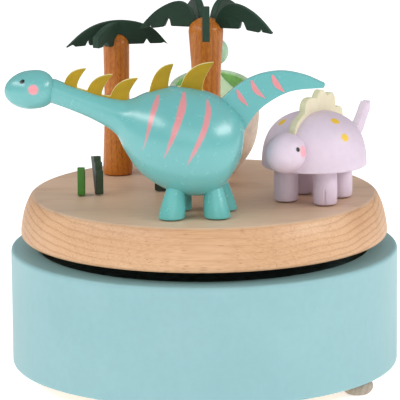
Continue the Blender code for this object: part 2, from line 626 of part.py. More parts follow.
def make_egg(axis):
    place = at(*EGG_AT, 0)
    wall = 1.8
    outer = smooth([(12.9, 85.6), (14.2, 80.0), (14.6, 74.4), (13.7, 67.0), (11.4, 61.6), (7.2, STAND)], 2)
    inner = smooth([(4.0, STAND + 2.4), (11.7, 67.4), (14.6 - wall, 74.6), (12.4, 80.0), (12.9 - wall, 85.6)], 2)
    turned("egg_shell", [(0, STAND + 2.2), *inner, *outer, (0, STAND)], SHELL, place, axis, steps=22)
    head_z, head_r = 93.6, 4.3
    ball = [(head_r * math.sin(a), head_r * math.cos(a)) for a in (math.pi * i / 8 for i in range(9))]
    ball[0], ball[-1] = (0, head_r), (0, -head_r)
    baby = at(EGG_AT[0] + 1.0, EGG_AT[1], 0)
    turned("hatchling_head", ball, MINT, baby @ at(0, 0, head_z), axis, steps=16)
    grown = [(radius * (head_r + GAP) / head_r, z * (head_r + GAP) / head_r) for radius, z in ball]
    around_head = as_cutter(turned("head_clearance", grown, MINT, baby @ at(0, 0, head_z), steps=16))
    side = smooth([(2.7, 90.4), (3.4, 86.2), (5.2, 79.8), (7.3, 72.0), (7.6, 66.0), (6.0, 62.0)], 2)
    body = turned("hatchling_body", [(0, 90.4), *side, (0, 62.0)], LIME, baby, axis, steps=18)
    boolean(body, around_head)


# ---------------------------------------------------------------- palms and grass


def trunk_profile(base, waist, top, neck_z, crown):
    """(radius, height): a domed crown, a slim waist under the leaves and a wider foot."""
    dome = [(top * math.sin(a), neck_z + (crown - neck_z) * math.cos(a)) for a in (0.4, 0.8, 1.2)]
    middle = STAND + 0.45 * (neck_z - STAND)
    return [(0, crown), *dome, (top, neck_z), (waist, neck_z - 15), (waist + 0.1, middle), (base, STAND), (0, STAND)]


def make_small_palm(axis):
    """Two crossing plates, half-lapped over each other in the slotted top of the trunk."""
    x, y = SMALL_PALM_AT
    low, lap = 96.4, 100.2
    trunk = turned("small_palm_trunk", trunk_profile(4.6, 3.85, 4.0, 95.6, 99.8), VARNISH, at(x, y, 0), axis, steps=18)
    arch = smooth([(16.0, 95.9), (11.8, 100.6), (6.8, 103.0), (0.4, 103.8), (-5.6, 102.8), (-10.6, 100.2), (-15.5, 95.8)], 3)
    under_left = [(-13.4, 96.8), (-12.8, 96.1), (-9.6, 96.3), (-8.6, 98.2), (-8.4, low)]
    under_right = [(8.4, low), (9.3, 98.0), (10.3, low), (13.8, low), (14.6, 96.7)]
    blunt = smooth([(13.0, 100.4), (7.0, 102.6), (0.0, 103.4), (-7.0, 102.6), (-13.0, 100.4)], 3)
    blunt += [(-13.0, 97.0), (-10.2, 97.0), (-9.0, 98.2), (-7.0, 98.0), (-5.6, low)]
    blunt += [(5.6, low), (7.0, 98.0), (9.0, 98.2), (10.2, 97.0), (13.0, 97.0)]
    turns = (math.radians(9), math.radians(63))
    # The blunt plate's own +X end points to the front left.
    plates = (("small_palm_leaf_1", arch + under_left + under_right), ("small_palm_leaf_2", blunt))
    slant = (PLATE + 2 * GAP) / 2 / math.sin(turns[1] - turns[0])
    for (name, outline), turn, other, low_cut, high_cut in zip(
        plates, turns, turns[::-1], (90.0, lap - GAP / 2), (lap + GAP / 2, 110.0)
    ):
        leaf = flat(name, outline, PLATE, LEAF, upright(x, y, turn), axis)
        half = PLATE / 2 + GAP
        reach = slant + 2.2
        lap_box = box(name + "_lap", (-reach, -half, low_cut), (reach, half, high_cut), LEAF, at(x, y, 0, other))
        boolean(leaf, as_cutter(lap_box))
        slot = box(name + "_slot", (-9, -half, low - GAP), (9, half, 110), LEAF, at(x, y, 0, turn))
        boolean(trunk, as_cutter(slot))


def make_big_palm(axis):
    """Five single leaves, each in its own slot in the top of the trunk."""
    x, y = BIG_PALM_AT
    low = 104.6
    trunk = turned("big_palm_trunk", trunk_profile(5.1, 4.3, 5.25, 103.4, 107.6), VARNISH, at(x, y, 0), axis, steps=20)
    top = smooth([(3.0, 105.4), (3.6, 108.0), (5.2, 110.6), (7.8, 112.1), (11.4, 111.5), (15.4, 109.2), (18.6, 106.2), (20.9, 103.4)], 2)
    under = [(17.8, 103.9), (17.5, 105.3), (16.9, 103.7), (13.0, 104.3), (11.9, 106.9), (11.2, 106.8), (10.7, low)]
    half = PLATE / 2 + GAP
    for number, angle in enumerate((-90, -18, 54, 108, 162), 1):
        turn = math.radians(angle)
        flat(f"big_palm_leaf_{number}", [*top, *under, (3.0, low)], PLATE, LEAF, upright(x, y, turn), axis)
        slot = box("leaf_slot", (3.0 - GAP, -half, low - GAP), (9, half, 112), LEAF, at(x, y, 0, turn))
        boolean(trunk, as_cutter(slot))


def make_grass(axis):
    """Sawn tufts that stand upright on the disc: stepped down on one side, slanting out on the other."""
    low_tuft = [(0, 0), (3.0, 0), (5.0, 5.2), (3.8, 5.4), (3.6, 7.2), (1.9, 7.3), (1.6, 8.5), (0, 8.5)]
    tuft = [(0, 0), (1.7, 0), (4.9, 11.0), (2.0, 11.4), (1.8, 9.8), (0.9, 9.7), (0.7, 7.3), (0, 7.3)]
    wide_tuft = [(0, 0), (5.0, 0), (7.2, 6.8), (5.4, 7.2), (5.0, 9.6), (2.2, 9.8), (2.0, 7.0), (0, 6.6)]
    for number, (outline, finish, x, y, angle) in enumerate(
        ((low_tuft, GRASS, -36.5, -6.5, 90), (tuft, DARK_GRASS, -30.9, -5.1, 112), (wide_tuft, DARK_GRASS, -14.7, 1.1, 0)), 1
    ):
        place = at(0, 0, STAND) @ upright(x, y, math.radians(angle))
        flat(f"grass_{number}", outline, PLATE, finish, place, axis)


# ---------------------------------------------------------------- the whole music box

clear_scene()
PARTS = collection("cylinder_music_box")
CUTTERS = collection("cutters")

AQUA = material("aqua_paint", (0.30, 0.62, 0.65), 0.35)
BEECH = material("beech", (0.66, 0.45, 0.28), 0.55)
PLYWOOD = material("plywood", (0.60, 0.44, 0.28), 0.7)
BLACK = material("black_board", (0.012, 0.012, 0.012), 0.6)
ZINC = material("zinc_casting", (0.55, 0.50, 0.38), 0.4, 0.9)
BRASS = material("brass", (0.62, 0.46, 0.20), 0.3, 1.0)
STEEL = material("steel", (0.50, 0.50, 0.50), 0.3, 1.0)
LILAC = material("lilac_paint", (0.75, 0.63, 0.75), 0.5)
CREAM = material("cream_paint", (0.85, 0.77, 0.58), 0.5)
MUSTARD = material("mustard_paint", (0.48, 0.26, 0.01), 0.4)
SHELL = material("speckled_shell", (0.62, 0.50, 0.42), 0.6)
MINT = material("mint_paint", (0.42, 0.68, 0.46), 0.45)
LIME = material("lime_paint", (0.48, 0.70, 0.34), 0.45)
VARNISH = material("varnished_wood", (0.45, 0.16, 0.03), 0.25)
LEAF = material("leaf_green_paint", (0.02, 0.05, 0.03), 0.5)
GRASS = material("grass_green_paint", (0.03, 0.12, 0.01), 0.5)
DARK_GRASS = material("dark_grass_paint", (0.02, 0.05, 0.02), 0.5)

TURNTABLE_AXIS = joint_axis("turntable_axis", 0, 0, 0)
CYLINDER_AXIS = joint_axis("cylinder_axis", sum(CYLINDER_SPAN) / 2, 0, CYLINDER_Z)
IDLER_AXIS = joint_axis("idler_axis", WORM_X, IDLER_Y, CYLINDER_Z)
GOVERNOR_AXIS = joint_axis("governor_axis", WORM_X, WORM_Y, CYLINDER_Z)

DECK = make_drum()
make_feet()
BEDPLATE = make_frame(DECK)
make_spring()
make_comb(BEDPLATE)
make_key_shaft(TURNTABLE_AXIS)
make_cylinder(CYLINDER_AXIS)
make_idler(IDLER_AXIS)
make_governor(GOVERNOR_AXIS)
make_disc(TURNTABLE_AXIS)
make_bronto(TURNTABLE_AXIS)
make_stego(TURNTABLE_AXIS)
make_egg(TURNTABLE_AXIS)
make_small_palm(TURNTABLE_AXIS)
make_big_palm(TURNTABLE_AXIS)
make_grass(TURNTABLE_AXIS)
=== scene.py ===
"""Wind-up cylinder music box: an aqua drum with a beech disc that turns two painted wooden dinosaurs,
a hatching egg, two palms and grass. Lengths are in millimetres until a mesh is made, then in metres."""

import math

import bmesh
import bpy
import numpy as np
from mathutils import Matrix, Vector


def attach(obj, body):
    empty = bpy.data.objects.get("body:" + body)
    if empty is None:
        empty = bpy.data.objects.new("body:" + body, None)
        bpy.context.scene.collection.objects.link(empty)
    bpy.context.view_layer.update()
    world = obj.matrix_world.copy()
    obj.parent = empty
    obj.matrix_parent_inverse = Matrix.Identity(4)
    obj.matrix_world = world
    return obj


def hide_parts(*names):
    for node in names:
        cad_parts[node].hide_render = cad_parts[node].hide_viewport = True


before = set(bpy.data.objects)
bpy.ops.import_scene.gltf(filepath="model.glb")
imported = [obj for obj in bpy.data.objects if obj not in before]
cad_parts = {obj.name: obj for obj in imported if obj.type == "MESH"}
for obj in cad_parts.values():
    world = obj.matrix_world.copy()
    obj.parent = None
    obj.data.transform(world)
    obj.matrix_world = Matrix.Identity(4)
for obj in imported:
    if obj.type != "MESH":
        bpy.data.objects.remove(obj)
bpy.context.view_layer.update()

# ---------------------------------------------------------------- the table, the studio and the camera
# A matt white table top with plain soft studio light: one box on each side of the music box, a wide
# dim one in front, and pale walls under a ceiling that is a little brighter.

MM = 0.001
scene = bpy.context.scene
scene.view_settings.view_transform = "Standard"


def linear(colour):
    """The sRGB hex colour "#rrggbb" as the linear (r, g, b, 1) that a shader takes."""
    parts = [int(colour[i : i + 2], 16) / 255 for i in (1, 3, 5)]
    return (*(c / 12.92 if c <= 0.04045 else ((c + 0.055) / 1.055) ** 2.4 for c in parts), 1.0)


def add(tree, kind, inputs=None, **settings):
    """Adds one node, gives it its settings, and links or fills its inputs."""
    node = tree.nodes.new("ShaderNode" + kind)
    for key, value in settings.items():
        setattr(node, key, value)
    for key, value in (inputs or {}).items():
        if isinstance(value, bpy.types.NodeSocket):
            tree.links.new(value, node.inputs[key])
        else:
            node.inputs[key].default_value = value
    return node


def finish(name, **sockets):
    """A new material with these values on its shader's own sockets: (material, its tree, its shader)."""
    material = bpy.data.materials.new(name)
    material.use_nodes = True
    shader = material.node_tree.nodes["Principled BSDF"]
    for key, value in sockets.items():
        shader.inputs[key.replace("_", " ")].default_value = value
    return material, material.node_tree, shader


# The table top also glows a little: painted light, an emission that keeps it white and lights the pieces from
# below.
glowing_table_paint, tree, shader = finish("matt_white_glowing_table", Roughness=0.9, Emission_Strength=0.55)
shader.inputs["Emission Color"].default_value = (1.0, 1.0, 1.0, 1.0)
cloud = add(tree, "TexNoise", {"Vector": add(tree, "TexCoord").outputs["Object"], "Scale": 6.0})
pale = add(
    tree, "Mix", {0: cloud.outputs["Fac"], 6: linear("#f4f4f4"), 7: linear("#f8f8f8")}, data_type="RGBA"
)
tree.links.new(pale.outputs[2], shader.inputs["Base Color"])
# In metres. The table lies a hair below the feet.
table_half, table_height = 4.0, -0.00005
corners = [(x * table_half, y * table_half, table_height) for x, y in ((-1, -1), (1, -1), (1, 1), (-1, 1))]
table_mesh = bpy.data.meshes.new("table_top")
table_mesh.from_pydata(corners, [], [(0, 1, 2, 3)])
table_mesh.materials.append(glowing_table_paint)
table_top = bpy.data.objects.new("table_top", table_mesh)
scene.collection.objects.link(table_top)

walls = bpy.data.worlds.new("pale_walls")
scene.world = walls
walls.use_nodes = True
tree = walls.node_tree
upward = add(tree, "SeparateXYZ", {0: add(tree, "TexCoord").outputs["Generated"]})
horizon, overhead = 0.34, 0.44
glow = add(tree, "MapRange", {0: upward.outputs["Z"], 1: 0.0, 2: 0.8, 3: horizon, 4: overhead})
tree.links.new(glow.outputs[0], tree.nodes["Background"].inputs["Strength"])
tree.nodes["Background"].inputs["Color"].default_value = linear("#fbfdff")

aimed_at = Vector((0.0, 0.0, 0.07))
for name, place, size, watts in (
    ("left_box", (-0.90, -0.42, 0.85), (1.35, 0.26), 7.4),
    ("right_box", (1.02, -0.30, 0.66), (0.85, 0.26), 6.2),
    ("front_box", (0.10, -1.70, 0.75), (1.50, 0.90), 4.8),
):
    lamp = bpy.data.lights.new(name, "AREA")
    lamp.shape = "RECTANGLE"
    lamp.size, lamp.size_y = size
    lamp.energy = watts
    holder = bpy.data.objects.new(name, lamp)
    holder.location = place
    holder.rotation_euler = (aimed_at - Vector(place)).to_track_quat("-Z", "Y").to_euler()
    scene.collection.objects.link(holder)

# A long lens a metre away, looking down on the disc.
lens = bpy.data.cameras.new("camera")
lens.sensor_width, lens.lens, lens.clip_end = 36.0, 301.8, 50.0
camera = bpy.data.objects.new("camera", lens)
down, left, roll = math.radians(11.90), math.radians(0.068), math.radians(-0.45)
level = Matrix.Rotation(left, 4, "Z") @ Matrix.Rotation(math.pi / 2 - down, 4, "X")
camera.matrix_world = Matrix.Translation((0.0, -0.9845, 0.2609)) @ level @ Matrix.Rotation(roll, 4, "Z")
scene.collection.objects.link(camera)
scene.camera = camera

# ---------------------------------------------------------------- drum
# The case is turned from solid wood, sanded, primed and sprayed with satin aqua paint. Its edges are
# eased with a small round, and the bore has a step that the movement's deck rests on.

same_point = 0.002


def along(points, step, closed=False):
    """More points on a polyline: its own corners, and others every `step` along it."""
    points = np.asarray(points, float)
    if closed:
        points = np.vstack([points, points[:1]])
    way = np.concatenate([[0.0], np.cumsum(np.linalg.norm(np.diff(points, axis=0), axis=1))])
    stops = np.union1d(way, np.linspace(0.0, way[-1], max(2, int(way[-1] / step) + 1)))
    if closed:
        stops = stops[:-1]
    return np.stack([np.interp(stops, way, points[:, i]) for i in range(points.shape[1])], axis=1)


def eased(corners, radii, closed=False, count=6):
    """Rounds each corner with a quadratic Bezier curve whose ends lie `radius` away along both sides."""
    corners = np.asarray(corners, float)
    radii = np.broadcast_to(np.asarray(radii, float), len(corners)).copy()
    if not closed:
        radii[[0, -1]] = 0.0
    to_last = np.roll(corners, 1, axis=0) - corners
    to_next = np.roll(corners, -1, axis=0) - corners
    ends = []
    for side in (to_last, to_next):
        length = np.maximum(np.linalg.norm(side, axis=1), 1e-9)
        ends.append(corners + side * np.minimum(radii / length, 0.5)[:, None])
    t = np.linspace(0.0, 1.0, count)[None, :, None]
    bend = ends[0][:, None] * (1 - t) ** 2 + corners[:, None] * 2 * t * (1 - t) + ends[1][:, None] * t**2
    return bend.reshape(-1, corners.shape[1])


def piece(name, node, body, material, grid, place=Matrix(), closed=False, caps=False):
    """A skin over a grid of points (rows up the outside, columns round it). `closed` joins the last row
    to the first, and `caps` fills both end rows. It is put in place and stands for the CAD node."""
    rows, columns = grid.shape[:2]
    index = np.arange(rows * columns).reshape(rows, columns)
    low = index if closed else index[:-1]
    high = np.roll(index, -1, axis=0) if closed else index[1:]
    faces = np.stack([low, np.roll(low, -1, 1), np.roll(high, -1, 1), high], axis=-1).reshape(-1, 4).tolist()
    if caps:
        faces += [index[0][::-1].tolist(), index[-1].tolist()]
    mesh = bpy.data.meshes.new(name)
    mesh.from_pydata(grid.reshape(-1, 3), [], faces)
    shape = bmesh.new()
    shape.from_mesh(mesh)
    bmesh.ops.remove_doubles(shape, verts=shape.verts, dist=same_point)
    bmesh.ops.dissolve_degenerate(shape, edges=shape.edges, dist=same_point / 2)
    bmesh.ops.triangulate(shape, faces=[face for face in shape.faces if len(face.verts) > 4])
    shape.to_mesh(mesh)
    shape.free()
    mesh.transform(place @ Matrix.Scale(MM, 4))
    mesh.shade_smooth()
    mesh.materials.append(material)
    made = bpy.data.objects.new(name, mesh)
    scene.collection.objects.link(made)
    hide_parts(node)
    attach(made, body)
    return made


def lathe(profile, sides=192, step=0.8, closed=False, slip=(0.0, 0.0), foot=0.0):
    """Points of a turned shape: (radius cos a, radius sin a, height) for each (radius, height) of the
    profile and each angle a. `slip` moves a ring sideways by that much for each unit above the foot."""
    profile = along(profile, step, closed)
    angle = np.linspace(0.0, 2 * np.pi, sides, endpoint=False)
    radius, height = profile[:, 0, None], profile[:, 1, None]
    x = radius * np.cos(angle) + slip[0] * (height - foot)
    y = radius * np.sin(angle) + slip[1] * (height - foot)
    return np.stack([x, y, height + 0 * angle], axis=-1)


def at(x, y, z, turn=0.0, tip=0.0):
    """A place in millimetres, tipped about Y, then turned about Z (radians)."""
    move = Matrix.Translation(Vector((x, y, z)) * MM)
    return move @ Matrix.Rotation(turn, 4, "Z") @ Matrix.Rotation(tip, 4, "Y")


def paint(name, colour, deep, soft, grain, peel, marks=(), streak="x", wear_and_light=None, **sockets):
    """Sprayed paint on wood: two close tones in clouds 20 mm wide, specks of `soft` strength, the wood's
    fibres telegraphing through by `grain`, orange peel 0.7 mm wide by `peel`, and hand-painted marks
    (attribute, colour) that follow the mesh. The mesh's "edge" attribute gets the colour given for sawn
    edges: a painted highlight on the mustard spikes, painted shade on the cream crest."""
    material, tree, shader = finish(name, **sockets)
    coords = add(tree, "TexCoord").outputs["Object"]
    cloud = add(tree, "TexNoise", {"Vector": coords, "Scale": 50.0, "Detail": 3.0})
    blend = add(tree, "MapRange", {0: cloud.outputs["Fac"], 1: 0.35, 2: 0.68})
    clouds = add(tree, "Mix", {0: blend.outputs[0], 6: linear(colour), 7: linear(deep)}, data_type="RGBA")
    tone = clouds.outputs[2]
    # The edge colour is painted light on some pieces: a painted highlight on the mustard spikes, painted
    # shade on the cream crest.
    for attribute, mark in ([("edge", wear_and_light)] if wear_and_light else []) + list(marks):
        place = add(tree, "Attribute", attribute_name=attribute)
        marked = add(tree, "Mix", {0: place.outputs["Fac"], 6: tone, 7: linear(mark)}, data_type="RGBA")
        tone = marked.outputs[2]
    fine = add(tree, "TexNoise", {"Vector": coords, "Scale": 420.0, "Detail": 2.0})
    speck = add(tree, "MapRange", {0: fine.outputs["Fac"], 1: 0.3, 2: 0.7, 3: 1.0 - soft, 4: 1.0 + soft})
    specked = add(tree, "VectorMath", {0: tone, 3: speck.outputs[0]}, operation="SCALE")
    tree.links.new(specked.outputs[0], shader.inputs["Base Color"])
    rough = sockets["Roughness"]
    sheen = add(
        tree, "MapRange", {0: fine.outputs["Fac"], 1: 0.3, 2: 0.7, 3: 0.96 * rough, 4: 1.06 * rough}
    )
    tree.links.new(sheen.outputs[0], shader.inputs["Roughness"])
    stretch = {"x": (90.0, 1300.0, 1300.0), "z": (1300.0, 1300.0, 90.0)}[streak]
    fibre_way = add(tree, "Mapping", {"Vector": coords, "Scale": stretch})
    fibre = add(tree, "TexNoise", {"Vector": fibre_way.outputs[0], "Scale": 1.0, "Detail": 0.0})
    skin_peel = add(tree, "TexNoise", {"Vector": coords, "Scale": 1400.0, "Detail": 0.0})
    skin = {"Distance": 0.06 * MM}
    first = add(tree, "Bump", {"Strength": grain, "Height": fibre.outputs["Fac"], **skin})
    skin["Normal"] = first.outputs[0]
    second = add(tree, "Bump", {"Strength": peel, "Height": skin_peel.outputs["Fac"], **skin})
    tree.links.new(second.outputs[0], shader.inputs["Normal"])
    return material


drum_radius, drum_low, drum_top = 58.0, 4.8, 40.0
bore, step_bore, cover_seat = 49.6, 48.6, 51.6
deck_seat, cover_top = 27.7, 8.3
# Satin acrylic paint: soft broad highlights, hardly any grain.
drum_paint = paint("satin_aqua_paint", "#8fb8bc", "#8ab4b8", 0.02, 0.25, 0.3, streak="z", Roughness=0.42)
drum_section = [
    (cover_seat, drum_low), (drum_radius, drum_low), (drum_radius, drum_top), (bore, drum_top),
    (bore, deck_seat), (step_bore, deck_seat), (step_bore, cover_top), (cover_seat, cover_top),
]
drum_wall = eased(drum_section, (0.2, 1.0, 1.1, 0.4, 0.2, 0.2, 0.2, 0.2), closed=True)
drum_grid = lathe(drum_wall, 288, 1.2, closed=True)
piece("drum_case", "drum_shell", "drum", drum_paint, drum_grid, closed=True)

# ---------------------------------------------------------------- feet, bottom cover and deck
# Four flattened beech balls, waxed but not painted, are glued under the drum's rim. A plywood disc held
# by three screws closes the underside, and a black-stained board closes the top around the key shaft.


def wood(
    name, light, dark, fleck_tone, ring, ring_depth,
    lean=(0.0, 0.0, 0.0), flecks=0.0, fibres=0.5, ends=None, top_light=None, **sockets,
):
    """Wood sawn along the grain: growth rings `ring` mm apart that wander, fibres, and the short dark
    rays of beech. `lean` turns the block, so that its grain is the pattern's own X. The rings grow
    stronger between the two |X| of `ends`, and the top's (height, colour, share) paints the top face paler
    above that height: painted light for how the light falls on it."""
    material, tree, shader = finish(name, **sockets)
    coords = add(tree, "TexCoord").outputs["Object"]
    lying = add(tree, "Mapping", {"Vector": coords, "Rotation": lean}).outputs[0]
    wander_way = add(tree, "Mapping", {"Vector": lying, "Scale": (22.0, 40.0, 40.0)})
    wander = add(tree, "TexNoise", {"Vector": wander_way.outputs[0], "Scale": 1.0, "Detail": 2.0})
    height = add(tree, "SeparateXYZ", {0: lying}).outputs["Z"]
    wandered = {0: wander.outputs["Fac"], 1: 4.2 * MM, 2: height}
    drift = add(tree, "Math", wandered, operation="MULTIPLY_ADD")
    count = add(tree, "Math", {0: drift.outputs[0], 1: 1.0 / (ring * MM)}, operation="MULTIPLY")
    within = add(tree, "Math", {0: count.outputs[0]}, operation="FRACT")
    late = add(tree, "Math", {0: within.outputs[0], 1: 7.0}, operation="POWER")
    soft_edge = add(tree, "MapRange", {0: within.outputs[0], 1: 0.0, 2: 0.12, 3: 1.0, 4: 0.0})
    line = add(tree, "Math", {0: late.outputs[0], 1: soft_edge.outputs[0]}, operation="MAXIMUM")
    strength = ring_depth
    if ends:
        sideways = add(tree, "SeparateXYZ", {0: coords}).outputs["X"]
        reach = add(tree, "Math", {0: sideways}, operation="ABSOLUTE")
        near, far = ends[0] * MM, ends[1] * MM
        growing = {0: reach.outputs[0], 1: near, 2: far, 3: 0.25 * ring_depth, 4: ring_depth}
        strength = add(tree, "MapRange", growing).outputs[0]
    fibre_way = add(tree, "Mapping", {"Vector": lying, "Scale": (70.0, 2200.0, 2200.0)})
    fibre = add(tree, "TexNoise", {"Vector": fibre_way.outputs[0], "Scale": 1.0, "Detail": 3.0})
    patch_way = add(tree, "Mapping", {"Vector": lying, "Scale": (18.0, 60.0, 60.0)})
    patch = add(tree, "TexNoise", {"Vector": patch_way.outputs[0], "Scale": 1.0, "Detail": 3.0})
    grain = add(tree, "MapRange", {0: fibre.outputs["Fac"], 1: 0.3, 2: 0.7, 3: 0.0, 4: fibres})
    clouds = add(tree, "MapRange", {0: patch.outputs["Fac"], 1: 0.3, 2: 0.7, 3: 0.0, 4: 0.35})
    lined = add(
        tree, "Math", {0: line.outputs[0], 1: strength, 2: grain.outputs[0]}, operation="MULTIPLY_ADD"
    )
    darker = add(tree, "Math", {0: lined.outputs[0], 1: clouds.outputs[0]}, operation="ADD", use_clamp=True)
    board = add(tree, "Mix", {0: darker.outputs[0], 6: linear(light), 7: linear(dark)}, data_type="RGBA")
    tone = board.outputs[2]
    if flecks:
        ray_way = add(tree, "Mapping", {"Vector": lying, "Scale": (190.0, 2600.0, 2100.0)})
        cell = add(tree, "TexVoronoi", {"Vector": ray_way.outputs[0], "Scale": 1.0, "Randomness": 1.0})
        dash = add(tree, "MapRange", {0: cell.outputs["Distance"], 1: 0.16, 2: 0.34, 3: 1.0, 4: 0.0})
        chosen = add(tree, "SeparateColor", {0: cell.outputs["Color"]})
        keep = add(tree, "MapRange", {0: chosen.outputs[0], 1: 0.55, 2: 0.95, 3: 0.0, 4: flecks})
        ray = add(tree, "Math", {0: dash.outputs[0], 1: keep.outputs[0]}, operation="MULTIPLY")
        flecked = add(tree, "Mix", {0: ray.outputs[0], 6: tone, 7: linear(fleck_tone)}, data_type="RGBA")
        tone = flecked.outputs[2]
    # Painted light: above the given height the top face is mixed towards a paler, greyer colour.
    if top_light:
        level, colour, share = top_light
        up = add(tree, "SeparateXYZ", {0: coords}).outputs["Z"]
        above = add(tree, "MapRange", {0: up, 1: (level - 0.5) * MM, 2: level * MM, 3: 0.0, 4: share})
        top_lit = add(tree, "Mix", {0: above.outputs[0], 6: tone, 7: linear(colour)}, data_type="RGBA")
        tone = top_lit.outputs[2]
    tree.links.new(tone, shader.inputs["Base Color"])
    rough = sockets["Roughness"]
    gloss = add(tree, "MapRange", {0: fibre.outputs["Fac"], 1: 0.3, 2: 0.7, 3: rough - 0.05, 4: rough + 0.1})
    tree.links.new(gloss.outputs[0], shader.inputs["Roughness"])
    bump = add(tree, "Bump", {"Strength": 0.4, "Distance": 0.05 * MM, "Height": fibre.outputs["Fac"]})
    tree.links.new(bump.outputs[0], shader.inputs["Normal"])
    return material


def dress(material, *nodes):
    """Gives CAD nodes that stay as they are this material, in every slot that they have."""
    for node in nodes:
        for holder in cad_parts[node].material_slots:
            holder.material = material


def bezier(start, pull, end, count=16):
    """A quadratic Bezier curve from start to end, bent towards pull."""
    t = np.linspace(0.0, 1.0, count)[:, None]
    return np.array(start) * (1 - t) ** 2 + np.array(pull) * 2 * t * (1 - t) + np.array(end) * t**2


foot_top, foot_circle, first_foot = 4.5, 51.5, -29
# Waxed beech, end grain up: pale grey-brown with fine pores.
foot_wood = wood(
    "waxed_beech", "#b5a798", "#94836f", "#6f5b45", 1.6, 0.5, lean=(0.3, 1.2, 0.0), flecks=0.5, Roughness=0.5
)
foot_side = bezier((3.2, 0.0), (6.0, 2.1), (3.4, foot_top))
foot_round = eased([(0.0, 0.0), *foot_side, (0.0, foot_top)], [0, 0.4] + [0] * 14 + [0.2, 0], count=4)
for number in range(1, 5):
    turn = math.radians(first_foot + 90 * (number - 1))
    place = at(foot_circle * math.cos(turn), foot_circle * math.sin(turn), 0)
    foot = lathe(foot_round, 64, 0.3)
    piece(f"ball_foot_{number}", f"foot_{number}", "drum", foot_wood, foot, place)

# Birch plywood, sawn and sanded: long faint grain and a dull surface.
plywood = wood(
    "sanded_plywood", "#dcc199", "#bd9a6c", "#9a7448", 4.5, 0.35, lean=(0.02, 0.0, 0.5), Roughness=0.65
)
dress(plywood, "bottom_cover")
# Stained fibreboard, dull and felted: its blue-black is lifted to a blue-green, a painted reflection of the
# aqua drum, and the gap's shade makes it almost black.
dress(paint("black_board_with_painted_drum_reflection", "#38565a", "#425f5f", 0.5, 0.6, 0.6, Roughness=0.7), "deck_plate")


def metal(name, colour, deep, wear=0.1, cast=0.0, **sockets):
    """Bare metal: two tones in clouds 6 mm wide, fine scratches one way and, on a casting, pits 0.6 mm
    wide. `wear` is how far scratches change the roughness, and `cast` the share of pits."""
    material, tree, shader = finish(name, Metallic=1.0, **sockets)
    coords = add(tree, "TexCoord").outputs["Object"]
    cloud = add(tree, "TexNoise", {"Vector": coords, "Scale": 160.0, "Detail": 4.0})
    tone = add(tree, "Mix", {0: cloud.outputs["Fac"], 6: linear(colour), 7: linear(deep)}, data_type="RGBA")
    tree.links.new(tone.outputs[2], shader.inputs["Base Color"])
    scratch_way = add(tree, "Mapping", {"Vector": coords, "Scale": (120.0, 5200.0, 900.0)})
    scratch = add(tree, "TexNoise", {"Vector": scratch_way.outputs[0], "Scale": 1.0, "Detail": 3.0})
    rough = sockets["Roughness"]
    wear_and_light = {0: scratch.outputs["Fac"], 1: 0.3, 2: 0.7, 3: rough - wear / 2, 4: rough + wear}
    dull = add(tree, "MapRange", wear_and_light)
    tree.links.new(dull.outputs[0], shader.inputs["Roughness"])
    pits = add(tree, "TexNoise", {"Vector": coords, "Scale": 1800.0, "Detail": 3.0})
    mixed = add(tree, "Mix", {0: cast, 2: scratch.outputs["Fac"], 3: pits.outputs["Fac"]})
    bump = add(tree, "Bump", {"Strength": 0.3 + cast, "Distance": 0.04 * MM, "Height": mixed.outputs[0]})
    tree.links.new(bump.outputs[0], shader.inputs["Normal"])
    return material


# ---------------------------------------------------------------- the movement
# Inside the drum hangs an 18-note movement: a die-cast zinc bedplate, brass wheels and spring housing,
# and a hardened steel comb, spring and governor. The case hides it, so its CAD solids keep their shape.

# Zinc casting, brass-washed: warm grey, pitted from the mould.
dress(metal("cast_zinc", "#b3a684", "#8f8468", cast=0.8, Roughness=0.45), "bedplate")
# Rolled and turned brass: warm yellow with fine lines.
brass = metal("turned_brass", "#d9b566", "#b98f45", Roughness=0.28)
dress(brass, "spring_housing", "key_shaft", "turntable_hub", "pin_cylinder", "idler_wheel")
# Blued spring steel: cold dark grey with a low sheen.
steel = metal("spring_steel", "#8b8f96", "#5f646c", Roughness=0.32)
dress(steel, "mainspring", "comb", "governor_worm", "cylinder_arbor")
# Zinc-plated steel screws: pale and bright, with dulled patches.
dress(
    metal("zinc_plated_steel", "#c9ccd0", "#9da1a8", wear=0.18, Roughness=0.3),
    "cover_screw_1", "cover_screw_2", "cover_screw_3", "movement_screw_1", "movement_screw_2",
    "movement_screw_3", "comb_screw_1", "comb_screw_2", "hub_screw_1", "hub_screw_2",
)

# ---------------------------------------------------------------- beech disc
# The turntable is turned from one beech board, flat-sawn, so the rings run out over the ends and short
# dark rays fleck its front. The flank is a soft ogee and the whole is rubbed with a matt varnish.


def smooth(points, per_span=8):
    """A Catmull-Rom curve through the points, ends included: one cubic on each span, in thirds of t."""
    points = np.asarray(points, float)
    points = np.vstack([2 * points[0] - points[1], points, 2 * points[-1] - points[-2]])
    a, b, c, d = (points[i : len(points) - 3 + i, None] for i in range(4))
    t = (np.arange(per_span) / per_span)[None, :, None]
    curve = ((3 * b - a - 3 * c + d) * t**3 + (2 * a - 5 * b + 4 * c - d) * t**2 + (c - a) * t + 2 * b) / 2
    return np.vstack([curve.reshape(-1, points.shape[1]), points[-2]])


disc_low, disc_top = 43.6, 56.0
